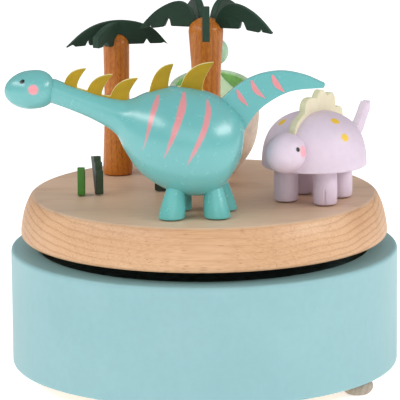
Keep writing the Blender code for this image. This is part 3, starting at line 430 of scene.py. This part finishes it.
# Matt-varnished beech: pinkish tan, ring lines 1.9 mm apart tilted 7 degrees, dark rays 2 mm long.
# Its top face is painted paler and greyer: painted light for the light that falls on it.
beech = wood(
    "varnished_beech", "#deb48c", "#b58156", "#8a5a38", 1.9, 0.6, lean=(-0.12, 0.0, 0.0), flecks=0.6,
    fibres=0.35, ends=(20.0, 48.0), top_light=(disc_top, "#e2cbb4", 0.5), Roughness=0.42,
)
flank = smooth(
    [(54.4, disc_low), (54.9, 44.4), (54.8, 46.4), (54.3, 49.4), (53.4, 52.5), (52.1, 55.2), (51.1, disc_top)]
)
disc_side = np.vstack([[(0.0, disc_low)], flank, [(0.0, disc_top)]])
piece("beech_disc", "turntable_disc", "turntable", beech, lathe(disc_side, 288, 0.8))

# ---------------------------------------------------------------- long-necked dinosaur
# Body and neck are one turning in aqua gloss paint; the head, four pegs for legs and a sawn tail are
# glued on, and two strips of sawn spikes stand in slots. Stripes, eyes and cheeks are brushed on.

stand = 56.3
bronto_x, bronto_y = -0.3, -32.0


def points_of(mesh):
    """The mesh's points as an (n, 3) array in millimetres."""
    flat = np.empty(len(mesh.vertices) * 3, np.float32)
    mesh.vertices.foreach_get("co", flat)
    return flat.reshape(-1, 3) / MM


def inked(made, name, weight):
    """Writes how far a mark covers each point of the mesh: weight(x, y, z) in millimetres gives 0 to 1."""
    x, y, z = points_of(made.data).T
    layer = made.data.attributes.new(name, "FLOAT", "POINT")
    layer.data.foreach_set("value", np.clip(weight(x, y, z), 0.0, 1.0).astype(np.float32))


def strokes(stripes, blur=0.22):
    """Brush strokes seen from the side: each stripe is (x, z, half width) points, joined by a smooth
    curve; a point is covered by how far it lies inside the curve's discs, over a soft edge."""
    paths = [smooth(stripe, 14) for stripe in stripes]

    def weight(x, y, z):
        inside = []
        for path in paths:
            away = np.hypot(x[:, None] - path[:, 0], z[:, None] - path[:, 1])
            inside.append((path[:, 2] - away).max(axis=1))
        return np.max(inside, axis=0) / blur + 0.5

    return weight


def dab(centres, size, blur, turn=0.0):
    """Oval dabs of a brush round some centres on the surface: half sizes (across, up), tilted by turn."""

    def weight(x, y, z):
        covers = []
        for cx, cy, cz in centres:
            across, up = np.hypot(x - cx, y - cy) * np.sign(x - cx + 1e-9), z - cz
            u = across * math.cos(turn) + up * math.sin(turn)
            v = up * math.cos(turn) - across * math.sin(turn)
            covers.append((1.0 - np.hypot(u / size[0], v / size[1])) * min(size) / blur + 0.5)
        return np.max(covers, axis=0)

    return weight


def upright(x, y, turn=0.0):
    """A place that stands an outline's own Y up along Z, with its own X along `turn`."""
    return at(x, y, 0, turn) @ Matrix.Rotation(math.pi / 2, 4, "X")


def plate(outline, thickness, ease=0.3, step=0.4, soften=2):
    """Points of a sawn plate: the outline, its corners worn a little, carried through the thickness in
    rings, with both edges rounded to `ease`. Rings run from the plate's back to its front."""
    rim = along(outline, step, closed=True)
    for _ in range(soften):
        rim = (np.roll(rim, 1, axis=0) + 2 * rim + np.roll(rim, -1, axis=0)) / 4
    following = np.roll(rim, -1, axis=0)
    if np.sum(rim[:, 0] * following[:, 1] - rim[:, 1] * following[:, 0]) < 0:
        rim = rim[::-1]
    tangent = np.roll(rim, -1, axis=0) - np.roll(rim, 1, axis=0)
    outward = np.stack([tangent[:, 1], -tangent[:, 0]], axis=1)
    outward /= np.maximum(np.linalg.norm(outward, axis=1, keepdims=True), 1e-9)
    # Near a tip the rounding shrinks to a third of the wood left there, so that no ring crosses itself.
    across = rim[None] - rim[:, None]
    reach = np.linalg.norm(across, axis=2) + 1e-9
    inward = -(across * outward[:, None]).sum(axis=2) / reach
    room = np.where(inward > 0.6, reach, np.inf).min(axis=1)
    room = np.minimum(room, np.minimum(np.roll(room, 1), np.roll(room, -1)))
    face_inset = ease + 0.12
    share = np.minimum(1.0, 0.3 * room / face_inset)
    quarter = np.linspace(0.0, np.pi / 2, 5)
    inset = np.concatenate([[face_inset], ease * (1 - np.sin(quarter))])
    depth = np.concatenate([[0.0], ease * (1 - np.cos(quarter))]) - thickness / 2
    inset, depth = np.concatenate([inset, inset[::-1]]), np.concatenate([depth, -depth[::-1]])
    flat = rim[None] - (outward * share[:, None])[None] * inset[:, None, None]
    return np.concatenate([flat, np.broadcast_to(depth[:, None, None], (*flat.shape[:2], 1))], axis=2)


def sawn(name, node, material, outline, thickness, place, ease=0.3):
    """A sawn plate on the turntable as a finished piece. Its sawn edge is marked: every point by how far
    it lies from the faces, over most of the rounding."""
    grid = plate(outline, thickness, ease)
    made = piece(name, node, "turntable", material, grid, place, caps=True)
    back = place.inverted()
    normal = np.array(back.to_3x3())[2]
    shift = back.translation.z / MM
    flat = thickness / 2 - ease

    def weight(x, y, z):
        depth = np.abs(x * normal[0] + y * normal[1] + z * normal[2] + shift)
        return 1.0 - (depth - flat) / (0.8 * ease)

    inked(made, "edge", weight)


def oval(radius, half, count=90):
    """The side of a turned bead at the angles a from 0 to pi: (radius sin a, -half cos a)."""
    angle = np.linspace(0.0, math.pi, count)
    side = np.stack([radius * np.sin(angle), -half * np.cos(angle)], axis=1)
    side[[0, -1], 0] = 0.0
    return side


aqua, aqua_deep, rose = "#6bb3b2", "#67afae", "#d68d91"
# Gloss nitro paint over sanded and sealed wood: long soft-edged highlights and hardly any texture.
glossy = {"Roughness": 0.26, "IOR": 1.62}
bronto_paint = paint("gloss_aqua_paint", aqua, aqua_deep, 0.01, 0.0, 0.04, [("stripes", rose)], **glossy)
bronto_face = [("cheeks", "#f0969f"), ("eyes", "#04090b")]
face_paint = paint("gloss_aqua_paint_with_face", aqua, aqua_deep, 0.01, 0.0, 0.04, bronto_face, **glossy)

# Radius against the way along the neck's axis, from the head to the rump.
bulk = smooth(
    [
        (3.5, 0.0), (3.35, 6.0), (3.75, 14.5), (5.3, 21.6), (9.0, 25.9),
        (13.4, 32.4), (15.3, 41.0), (14.4, 49.0), (10.6, 55.2), (3.0, 57.8),
    ]
)
body_side = np.vstack([[(0.0, -1.4), (2.5, -1.4), (3.2, -0.9)], bulk, [(0.0, 58.1)]])
neck_place = at(bronto_x, bronto_y, 0) @ at(-43.4, 0, 92.8, 0, math.pi / 2 + math.radians(21))
body_grid = lathe(body_side, 300, 0.33)
made = piece("long_neck_body", "bronto_body", "turntable", bronto_paint, body_grid, neck_place)
flank_stripes = [
    [
        (-12.9, 91.8, 0.35), (-13.5, 90.1, 0.72), (-14.5, 87.3, 0.72),
        (-15.3, 84.5, 0.56), (-16.2, 81.1, 0.30), (-17.4, 77.1, 0.05),
    ],
    [
        (-5.5, 92.4, 0.50), (-5.9, 89.6, 1.05), (-7.0, 86.2, 1.00),
        (-8.4, 82.4, 0.78), (-9.8, 78.9, 0.42), (-11.4, 75.2, 0.05),
    ],
    [
        (1.2, 90.6, 0.28), (1.5, 88.0, 0.80), (0.6, 84.4, 0.84),
        (-0.7, 81.2, 0.80), (-2.4, 77.8, 0.56), (-4.9, 73.1, 0.05),
    ],
]
inked(made, "stripes", strokes(flank_stripes))

# The head is a bead, fuller and longer towards the neck.
head_half = 6.9
head_side = oval(5.55, head_half)
ahead = head_side[:, 1] / head_half
behind = np.maximum(ahead, 0.0)
head_side *= np.stack([(1 + 0.10 * ahead) * (1 + 0.25 * behind**2), 1 + 0.13 * (behind > 0)], axis=1)
head_place = at(bronto_x, bronto_y, 0) @ at(-50.1, 0, 93.0, 0, math.pi / 2 - math.radians(5))
head_grid = lathe(head_side, 220, 0.25)
made = piece("long_neck_head", "bronto_head", "turntable", face_paint, head_grid, head_place)
eyes = [(-51.9, bronto_y + side * 4.4, 96.2) for side in (-1, 1)]
cheeks = [(-48.7, bronto_y + side * 5.3, 93.95) for side in (-1, 1)]
inked(made, "eyes", dab(eyes, (0.85, 0.62), blur=0.1, turn=0.5))
inked(made, "cheeks", dab(cheeks, (1.4, 1.4), blur=0.6))

leg_side = eased(
    [(0.0, 0.0), (3.85, 0.0), (3.85, 1.0), (3.6, 3.2), (2.5, 9.5), (1.9, 15.0), (0.0, 15.0)],
    (0, 0.4, 0.8, 1.5, 2.0, 0.8, 0),
)
leg_side[:, 1] += stand
plain_aqua = paint("gloss_aqua_leg_paint", "#66bcb8", "#5cb1ae", 0.01, 0.05, 0.08, **glossy)
# The legs lean towards one point above the body.
meet_x, meet_rise = -2, 45
for number, (x, y) in enumerate(((-9.1, -6.6), (4.2, -5.6), (6.2, 5.6), (-7.2, 6.0)), 1):
    leg = lathe(leg_side, 96, 0.4, slip=((meet_x - x) / meet_rise, -y / meet_rise), foot=stand)
    place = at(bronto_x + x, bronto_y + y, 0)
    name, node = f"long_neck_leg_{number}", f"bronto_leg_{number}"
    piece(name, node, "turntable", plain_aqua, leg, place)

board, thin_board, stripe_coat = 2.2, 1.8, 0.08
side_on = upright(bronto_x, bronto_y)
tail_top = smooth([(2.0, 86.5), (9.3, 93.3), (15.5, 96.8), (22.6, 98.1), (29.5, 96.9), (35.5, 94.3)])
tail_low = smooth([(35.2, 93.1), (26.0, 92.2), (19.2, 88.9), (14.3, 84.2), (9.5, 75.5)])
tail = np.vstack([tail_top, tail_low, [(2.0, 80.0)]])
tail_paint = paint("gloss_aqua_tail_paint", "#62b1b1", "#5babab", 0.01, 0.1, 0.08, wear_and_light="#86c8c8", **glossy)
sawn("long_neck_tail", "bronto_tail", tail_paint, tail, board, side_on)


def swath(points):
    """The outline of one brush stroke: its path moved out by its half width on either side."""
    path = smooth(points, 6)
    step = np.gradient(path[:, :2], axis=0)
    aside = np.stack([-step[:, 1], step[:, 0]], axis=1) / np.linalg.norm(step, axis=1, keepdims=True)
    return np.vstack([path[:, :2] + aside * path[:, 2:], (path[:, :2] - aside * path[:, 2:])[::-1]])


# Brushed pink paint stands a little proud of the tail on both its faces.
painted_board = board + 2 * stripe_coat
rose_paint = paint("brushed_rose_paint", rose, "#dc8c90", 0.05, 0.6, 0.8, Roughness=0.4)
for number, stripe in enumerate(
    (
        [(10.0, 92.9, 0.25), (11.2, 90.4, 0.72), (13.3, 87.9, 0.10)],
        [(14.2, 95.6, 0.30), (15.5, 92.6, 0.80), (18.2, 90.2, 0.10)],
        [(20.2, 97.1, 0.30), (21.5, 94.3, 0.85), (23.8, 91.9, 0.10)],
    ),
    1,
):
    name = f"tail_stripe_{number}"
    sawn(name, "bronto_tail", rose_paint, swath(stripe), painted_board, side_on, ease=0.05)


def fin(left, right, tip):
    """A shark-fin spike: a bulging front edge up to the tip and a hollow back edge down from it."""
    front = (left[0] + 0.2 * (tip[0] - left[0]), tip[1])
    back = (right[0], right[1] + 0.4 * (tip[1] - right[1]))
    return np.vstack([bezier(left, front, tip, 12)[:-1], bezier(tip, back, right, 12)])


# Mustard paint: golden ochre, with the sawn edges painted paler: a painted highlight where they catch the
# light.
mustard = paint(
    "mustard_paint", "#ad8a05", "#8f7b05", 0.06, 0.5, 0.3, wear_and_light="#f3e6a0",
    Roughness=0.45, Specular_IOR_Level=0.3,
)
for name, node, seat, fins in (
    (
        "long_neck_neck_crest", "bronto_neck_crest", [(-40.0, 93.0), (-20.9, 88.0)],
        [
            ((-39.6, 95.2), (-36.0, 93.6), (-33.2, 99.2)),
            ((-33.1, 92.7), (-28.9, 91.4), (-25.6, 97.4)),
            ((-26.4, 91.1), (-21.4, 89.8), (-18.3, 96.3)),
        ],
    ),
    (
        "long_neck_back_crest", "bronto_back_crest", [(-15.5, 90.0), (-8.0, 91.4), (0.6, 90.4)],
        [((-15.2, 92.4), (-9.7, 93.4), (-8.1, 100.3)), ((-6.1, 93.8), (0.1, 92.6), (3.5, 100.7))],
    ),
):
    ridge = np.vstack([fin(*one) for one in fins])
    ends = (seat[-1][0], ridge[-1][1] - 0.5), (seat[0][0], ridge[0][1] - 0.5)
    outline = np.vstack([seat, ends[:1], ridge[::-1], ends[1:]])
    sawn(name, node, mustard, outline, thin_board, side_on, ease=0.36)

# ---------------------------------------------------------------- plated dinosaur
# A turned half-egg for the body, an oval bead for the head and four short dowels with a sawn toe slit,
# in matt lilac paint; a scalloped cream crest is let into a slot along its back, and a tail behind.

stego_x, stego_y, stego_belly = 32.7, -12.1, 66.6
spine = -math.pi / 2 - math.radians(32)
lilac, lilac_deep = "#dac9d7", "#d1bfce"
matt = {"Roughness": 0.5}
hide = paint("matt_lilac_paint", lilac, lilac_deep, 0.025, 0.35, 0.5, [("spots", "#e9bf2e")], **matt)
stego_radius, stego_rise, rim_ease = 15.5, 15.9, 0.25
angle = np.linspace(0.0, math.pi / 2, 80)
dome = np.stack(
    [stego_radius * np.cos(angle) ** 0.8, stego_belly + stego_rise * np.sin(angle) ** 0.8], axis=1
)
dome[-1, 0] = 0.0
rim = [(0.0, stego_belly), (stego_radius - rim_ease, stego_belly), (stego_radius, stego_belly + rim_ease)]
dome_grid = lathe(np.vstack([rim, dome[1:]]), 300, 0.35)
stego_place = at(stego_x, stego_y, 0)
made = piece("plated_body", "stego_body", "turntable", hide, dome_grid, stego_place)


def spots(centres, blur=0.25):
    """Round spots: each is (x, y, z, radius), and covers the points within that radius of its centre."""

    def weight(x, y, z):
        away = [np.sqrt((x - a) ** 2 + (y - b) ** 2 + (z - c) ** 2) - r for a, b, c, r in centres]
        return 0.5 - np.min(away, axis=0) / blur

    return weight


hide_spots = [
    (38.6, -18.8, 80.7, 1.35), (41.4, -22.4, 76.5, 1.25), (23.1, -15.6, 80.0, 1.35),
    (42.9, -3.6, 78.6, 1.3), (19.6, -6.6, 75.6, 1.2), (29.2, 0.6, 78.0, 1.25),
]
inked(made, "spots", spots(hide_spots))

stego_face = [("cheeks", "#f0a9b4"), ("eyes", "#050508")]
lilac_face = paint("matt_lilac_paint_with_face", lilac, lilac_deep, 0.025, 0.35, 0.5, stego_face, **matt)
bead = lathe(oval(5.85, 6.9), 220, 0.25)
head_reach, head_height = 16.6, 72.7
head_x, head_y = stego_x + head_reach * math.cos(spine), stego_y + head_reach * math.sin(spine)
head_place = at(head_x, head_y, head_height, spine, math.pi / 2)
made = piece("plated_head", "stego_head", "turntable", lilac_face, bead, head_place)


def across_spine(point):
    """The same point on the other flank of the plated dinosaur."""
    ahead = Vector((math.cos(spine), math.sin(spine)))
    out = Vector((point[0] - stego_x, point[1] - stego_y))
    back = 2 * out.dot(ahead) * ahead - out
    return (stego_x + back.x, stego_y + back.y, *point[2:])


eye, cheek = (27.6, -30.8, 74.7, 0.80), (29.1, -28.7, 73.6, 1.75)
inked(made, "eyes", spots([eye, across_spine(eye)], blur=0.15))
inked(made, "cheeks", spots([cheek, across_spine(cheek)], blur=0.5))

leg_top = stego_belly - 0.1
leg_side = eased(
    [(0, stand), (3.5, stand), (3.65, stand + 2.4), (3.6, stand + 6.5), (3.4, leg_top), (0, leg_top)],
    (0, 0.7, 1.0, 1.0, 0.2, 0),
)
leg_paint = paint("matt_lilac_leg_paint", lilac, "#cdbaca", 0.03, 0.5, 0.5, streak="z", **matt)
# One leg has a toe slit: a sawn line that fades out above the disc.
slit_leg, slit_depth, slit_half, slit_top, slit_fade = 2, 0.35, 0.22, 5.0, 0.8
slit_facing = spine + 0.50
for number, (x, y) in enumerate(((24.3, -14.5), (35.6, -20.1), (40.5, -9.0), (29.3, -3.4)), 1):
    leg = lathe(leg_side, 240, 0.3)
    if number == slit_leg:
        radius = np.hypot(leg[..., 0], leg[..., 1])
        aside = np.abs(np.arctan2(leg[..., 1], leg[..., 0]) - slit_facing) * radius
        fade = np.clip((stand + slit_top - leg[..., 2]) / slit_fade, 0, 1) * (radius > 3.0)
        sink = slit_depth * np.exp(-((aside / slit_half) ** 2)) * fade
        leg[..., :2] *= (1 - sink / np.maximum(radius, 1.0))[..., None]
    name, node = f"plated_leg_{number}", f"stego_leg_{number}"
    piece(name, node, "turntable", leg_paint, leg, at(x, y, 0))

# Cream paint; its sawn edges are painted darker and greener: painted shade, for the edge faces turned from
# the light.
crest_paint = paint("cream_paint", "#e2d9bd", "#d8cdac", 0.03, 0.6, 0.5, wear_and_light="#d6d3b0", Roughness=0.5)
scallops = [
    ((11.9, 73.6), (16.0, 80.3), (7.2, 82.8)),
    ((7.0, 82.9), (7.4, 88.6), (0.1, 86.5)),
    ((-0.1, 86.4), (-2.2, 90.5), (-5.9, 86.7)),
    ((-6.0, 86.3), (-11.2, 88.6), (-10.9, 82.1)),
    ((-11.1, 82.0), (-15.9, 83.0), (-15.2, 78.2)),
]
crest = np.vstack([[(-14.0, 76.2), (0.0, 79.4), (11.0, 73.4)]] + [bezier(*one, 14) for one in scallops])
along_spine = upright(stego_x, stego_y, spine)
sawn("plated_crest", "stego_crest", crest_paint, crest, board, along_spine, ease=0.25)
tail_up = smooth([(-11.0, 72.6), (-18.6, 72.6), (-24.6, 75.2), (-27.4, 77.8), (-29.1, 80.0)])
tail_down = smooth([(-31.9, 78.3), (-29.4, 75.1), (-26.7, 71.8), (-20.0, 68.0), (-11.0, 67.4)])
tail_tip = [(-29.4, 79.8), (-30.1, 80.8), (-30.9, 80.3), (-31.9, 80.9)]
tail = np.vstack([tail_up, tail_tip, tail_down])
thick_board = 2.4
tail_lilac = paint("matt_lilac_tail_paint", "#dac8d7", "#d0bdcd", 0.03, 0.6, 0.5, wear_and_light="#e9dce8", **matt)
sawn("plated_tail", "stego_tail", tail_lilac, tail, thick_board, along_spine, ease=0.25)

# ---------------------------------------------------------------- egg with a hatchling
# The egg is a turned wooden cup, left open at the top, sponged with speckled cream paint outside and
# green inside. The hatchling is a turned peg with a ball for its head, in two pale greens.

egg_x, egg_y, egg_top = 2.6, 30.0, 86.0
outer = smooth([(7.2, stand), (11.4, 61.6), (13.7, 67.0), (14.6, 74.4), (14.2, 80.0), (12.9, 85.6)])
inner = smooth([(11.1, 85.6), (12.4, 80.0), (12.8, 74.6), (11.7, 67.4), (4.0, 58.7)])
rim_round = bezier(outer[-1], (12.1, 86.6), inner[0], 8)
rim_round[:, 1] = np.minimum(rim_round[:, 1], egg_top)
egg_side = np.vstack([[(0.0, stand), (6.6, stand)], outer[:-1], rim_round, inner[1:], [(0.0, 58.5)]])
green_inside = [("inside", "#b2e694"), ("rim", "#c2d8ba")]
egg_paint = paint("speckled_cream_paint", "#dccab9", "#c4ae99", 0.16, 0.4, 0.8, green_inside, Roughness=0.5)
egg_grid, egg_place = lathe(egg_side, 200, 0.5), at(egg_x, egg_y, 0)
made = piece("egg_cup", "egg_shell", "turntable", egg_paint, egg_grid, egg_place)


def within_wall(x, y, z):
    """How far a point lies inside the middle of the cup's wall, over a soft edge."""
    middle = np.interp(z, [58, 67, 75, 80, 86], [5, 12.5, 13.6, 13.2, 12.0])
    return (middle - np.hypot(x - egg_x, y - egg_y)) / 0.3


inked(made, "inside", within_wall)
inked(made, "rim", lambda x, y, z: (z - (egg_top - 0.3)) / 0.15)
# The mouth was sawn on a slant, high at the back and low in front: the wall is drawn down or up towards
# its top, by a smoothstep of the height.
slant_from, slant, slant_drop = 70.0, 0.26, 3.2
points = points_of(made.data)
share = np.clip((points[:, 2] - slant_from) / (egg_top - slant_from), 0.0, 1.0)
points[:, 2] += share**2 * (3 - 2 * share) * (slant * (points[:, 1] - egg_y) - slant_drop)
made.data.vertices.foreach_set("co", (points * MM).ravel())

green_ways = {"soft": 0.04, "grain": 0.4, "peel": 0.5, "Roughness": 0.36}
ball_radius, ball_height, baby_x = 4.3, 93.6, egg_x + 1.0
ball = lathe(oval(ball_radius, ball_radius, 60) + (0.0, ball_height), 160, 0.25)
baby_place = at(baby_x, egg_y, 0)
mint = paint("mint_paint", "#b3d8b4", "#a6cda9", marks=[("eyes", "#101c14")], **green_ways)
made = piece("hatchling_head_ball", "hatchling_head", "turntable", mint, ball, baby_place)
baby_eyes = [(baby_x + side * 2.0, egg_y - 3.7, ball_height + 1.0, 0.5) for side in (-1, 1)]
inked(made, "eyes", spots(baby_eyes, blur=0.15))
peg = smooth(
    [(6.0, 62.0), (7.6, 66.0), (7.6, 78.0), (7.0, 80.8), (4.9, 83.0), (2.1, 86.0), (1.7, 88.0), (1.7, 90.4)]
)
peg_grid = lathe(np.vstack([[(0.0, 62.0)], peg, [(0.0, 91.0)]]), 128, 0.5)
lime = paint("lime_paint", "#cbe4bd", "#bedab0", **green_ways)
piece("hatchling_peg", "hatchling_body", "turntable", lime, peg_grid, baby_place)

# ---------------------------------------------------------------- palms
# Each trunk is turned from a red-brown hardwood and varnished to a shine. The leaves are sawn from thin
# board, painted dark green, and glued in slots in the trunk's domed top.


def trunk(base, waist, top, neck_z, crown):
    """The (radius, height) side of a trunk: a wide foot, a slim waist, and a domed crown."""
    middle = stand + 0.45 * (neck_z - stand)
    side = smooth([(base, stand), (waist + 0.1, middle), (waist, neck_z - 15), (top, neck_z)], 12)
    cap = np.linspace(1.45, 0.0, 12)
    dome = np.stack([top * np.sin(cap), neck_z + (crown - neck_z) * np.cos(cap)], axis=1)
    return np.vstack([[(0.0, stand), (base - 0.3, stand)], side[1:], dome])


# Varnished hardwood: orange-brown with darker streaks up the trunk and a bright clear coat.
trunk_wood = wood(
    "varnished_hardwood", "#d0801f", "#a45410", "#643207", 1.5, 0.4, lean=(0.0, math.pi / 2, 0.35),
    flecks=0.5, fibres=0.6, Roughness=0.45, Coat_Weight=0.2, Coat_Roughness=0.15, Specular_IOR_Level=0.35,
)
small_x, small_y, big_x, big_y = -26.4, 28.0, 1.0, 8.0
for size, side, x, y in (
    ("small", trunk(4.6, 3.85, 4.0, 95.6, 99.8), small_x, small_y),
    ("big", trunk(5.1, 4.3, 5.25, 103.4, 107.6), big_x, big_y),
):
    name, node = f"{size}_trunk", f"{size}_palm_trunk"
    piece(name, node, "turntable", trunk_wood, lathe(side, 128, 0.5), at(x, y, 0))

# Dark green satin paint on sawn board: the grain shows through, and the sawn edges are a shade paler.
leaf_paint = paint(
    "dark_green_leaf_paint", "#1d3828", "#172f21", 0.1, 0.9, 0.4, wear_and_light="#264031",
    Roughness=0.55, Specular_IOR_Level=0.3,
)
under = 96.4
arch = smooth(
    [(16.0, 95.9), (11.8, 100.6), (6.8, 103.0), (0.4, 103.8), (-5.6, 102.8), (-10.6, 100.2), (-15.5, 95.8)]
)
notches = [
    (-13.4, 96.8), (-12.8, 96.1), (-9.6, 96.3), (-8.6, 98.2), (-8.4, under),
    (8.4, under), (9.3, 98.0), (10.3, under), (13.8, under), (14.6, 96.7),
]
blunt = smooth([(13.0, 100.4), (7.0, 102.6), (0.0, 103.4), (-7.0, 102.6), (-13.0, 100.4)])
half_low = [(5.6, under), (7.0, 98.0), (9.0, 98.2), (10.2, 97.0), (13.0, 97.0)]
blunt_low = [(-x, z) for x, z in half_low[::-1]] + half_low
outlines = np.vstack([arch, notches]), np.vstack([blunt, blunt_low])
for number, (outline, turn) in enumerate(zip(outlines, (9, 63)), 1):
    place = upright(small_x, small_y, math.radians(turn))
    name, node = f"small_leaf_{number}", f"small_palm_leaf_{number}"
    sawn(name, node, leaf_paint, outline, board, place)
frond_top = smooth(
    [
        (3.0, 105.4), (3.6, 108.0), (5.2, 110.6), (7.8, 112.1),
        (11.4, 111.5), (15.4, 109.2), (18.6, 106.2), (20.9, 103.4),
    ]
)
frond_low = [
    (17.8, 103.9), (17.5, 105.3), (16.9, 103.7), (13.0, 104.3),
    (11.9, 106.9), (11.2, 106.8), (10.7, 104.6), (3.0, 104.6),
]
frond = np.vstack([frond_top, frond_low])
for number, turn in enumerate((-90, -18, 54, 108, 162), 1):
    place = upright(big_x, big_y, math.radians(turn))
    name, node = f"big_leaf_{number}", f"big_palm_leaf_{number}"
    sawn(name, node, leaf_paint, frond, board, place)

# ---------------------------------------------------------------- grass
# Three tufts sawn from the same thin board stand glued on the disc. One is painted grass green, two are
# a darker green; the saw left them stepped on one side.

grass_ways = {"soft": 0.1, "grain": 0.9, "peel": 0.5, "Roughness": 0.42}
bright_grass = paint("grass_green_paint", "#2f6a12", "#28590f", wear_and_light="#3c7a22", **grass_ways)
dark_grass = paint("dark_grass_paint", "#26382a", "#1f2f22", wear_and_light="#33462f", **grass_ways)
low_tuft = [(0, 0), (3.0, 0), (5.0, 5.2), (3.8, 5.4), (3.6, 7.2), (1.9, 7.3), (1.6, 8.5), (0, 8.5)]
tall_tuft = [(0, 0), (1.7, 0), (4.9, 11.0), (2.0, 11.4), (1.8, 9.8), (0.9, 9.7), (0.7, 7.3), (0, 7.3)]
wide_tuft = [(0, 0), (5.0, 0), (7.2, 6.8), (5.4, 7.2), (5.0, 9.6), (2.2, 9.8), (2.0, 7.0), (0, 6.6)]
for number, (outline, material, slot, x, y, turn) in enumerate(
    (
        (low_tuft, bright_grass, "grass_green_paint", -36.5, -6.5, 90),
        (tall_tuft, dark_grass, "dark_grass_paint", -30.9, -5.1, 112),
        (wide_tuft, dark_grass, "dark_grass_paint", -14.7, 1.1, 0),
    ),
    1,
):
    place = at(0, 0, stand) @ upright(x, y, math.radians(turn))
    sawn(f"grass_tuft_{number}", f"grass_{number}", material, outline, board, place, ease=0.2)
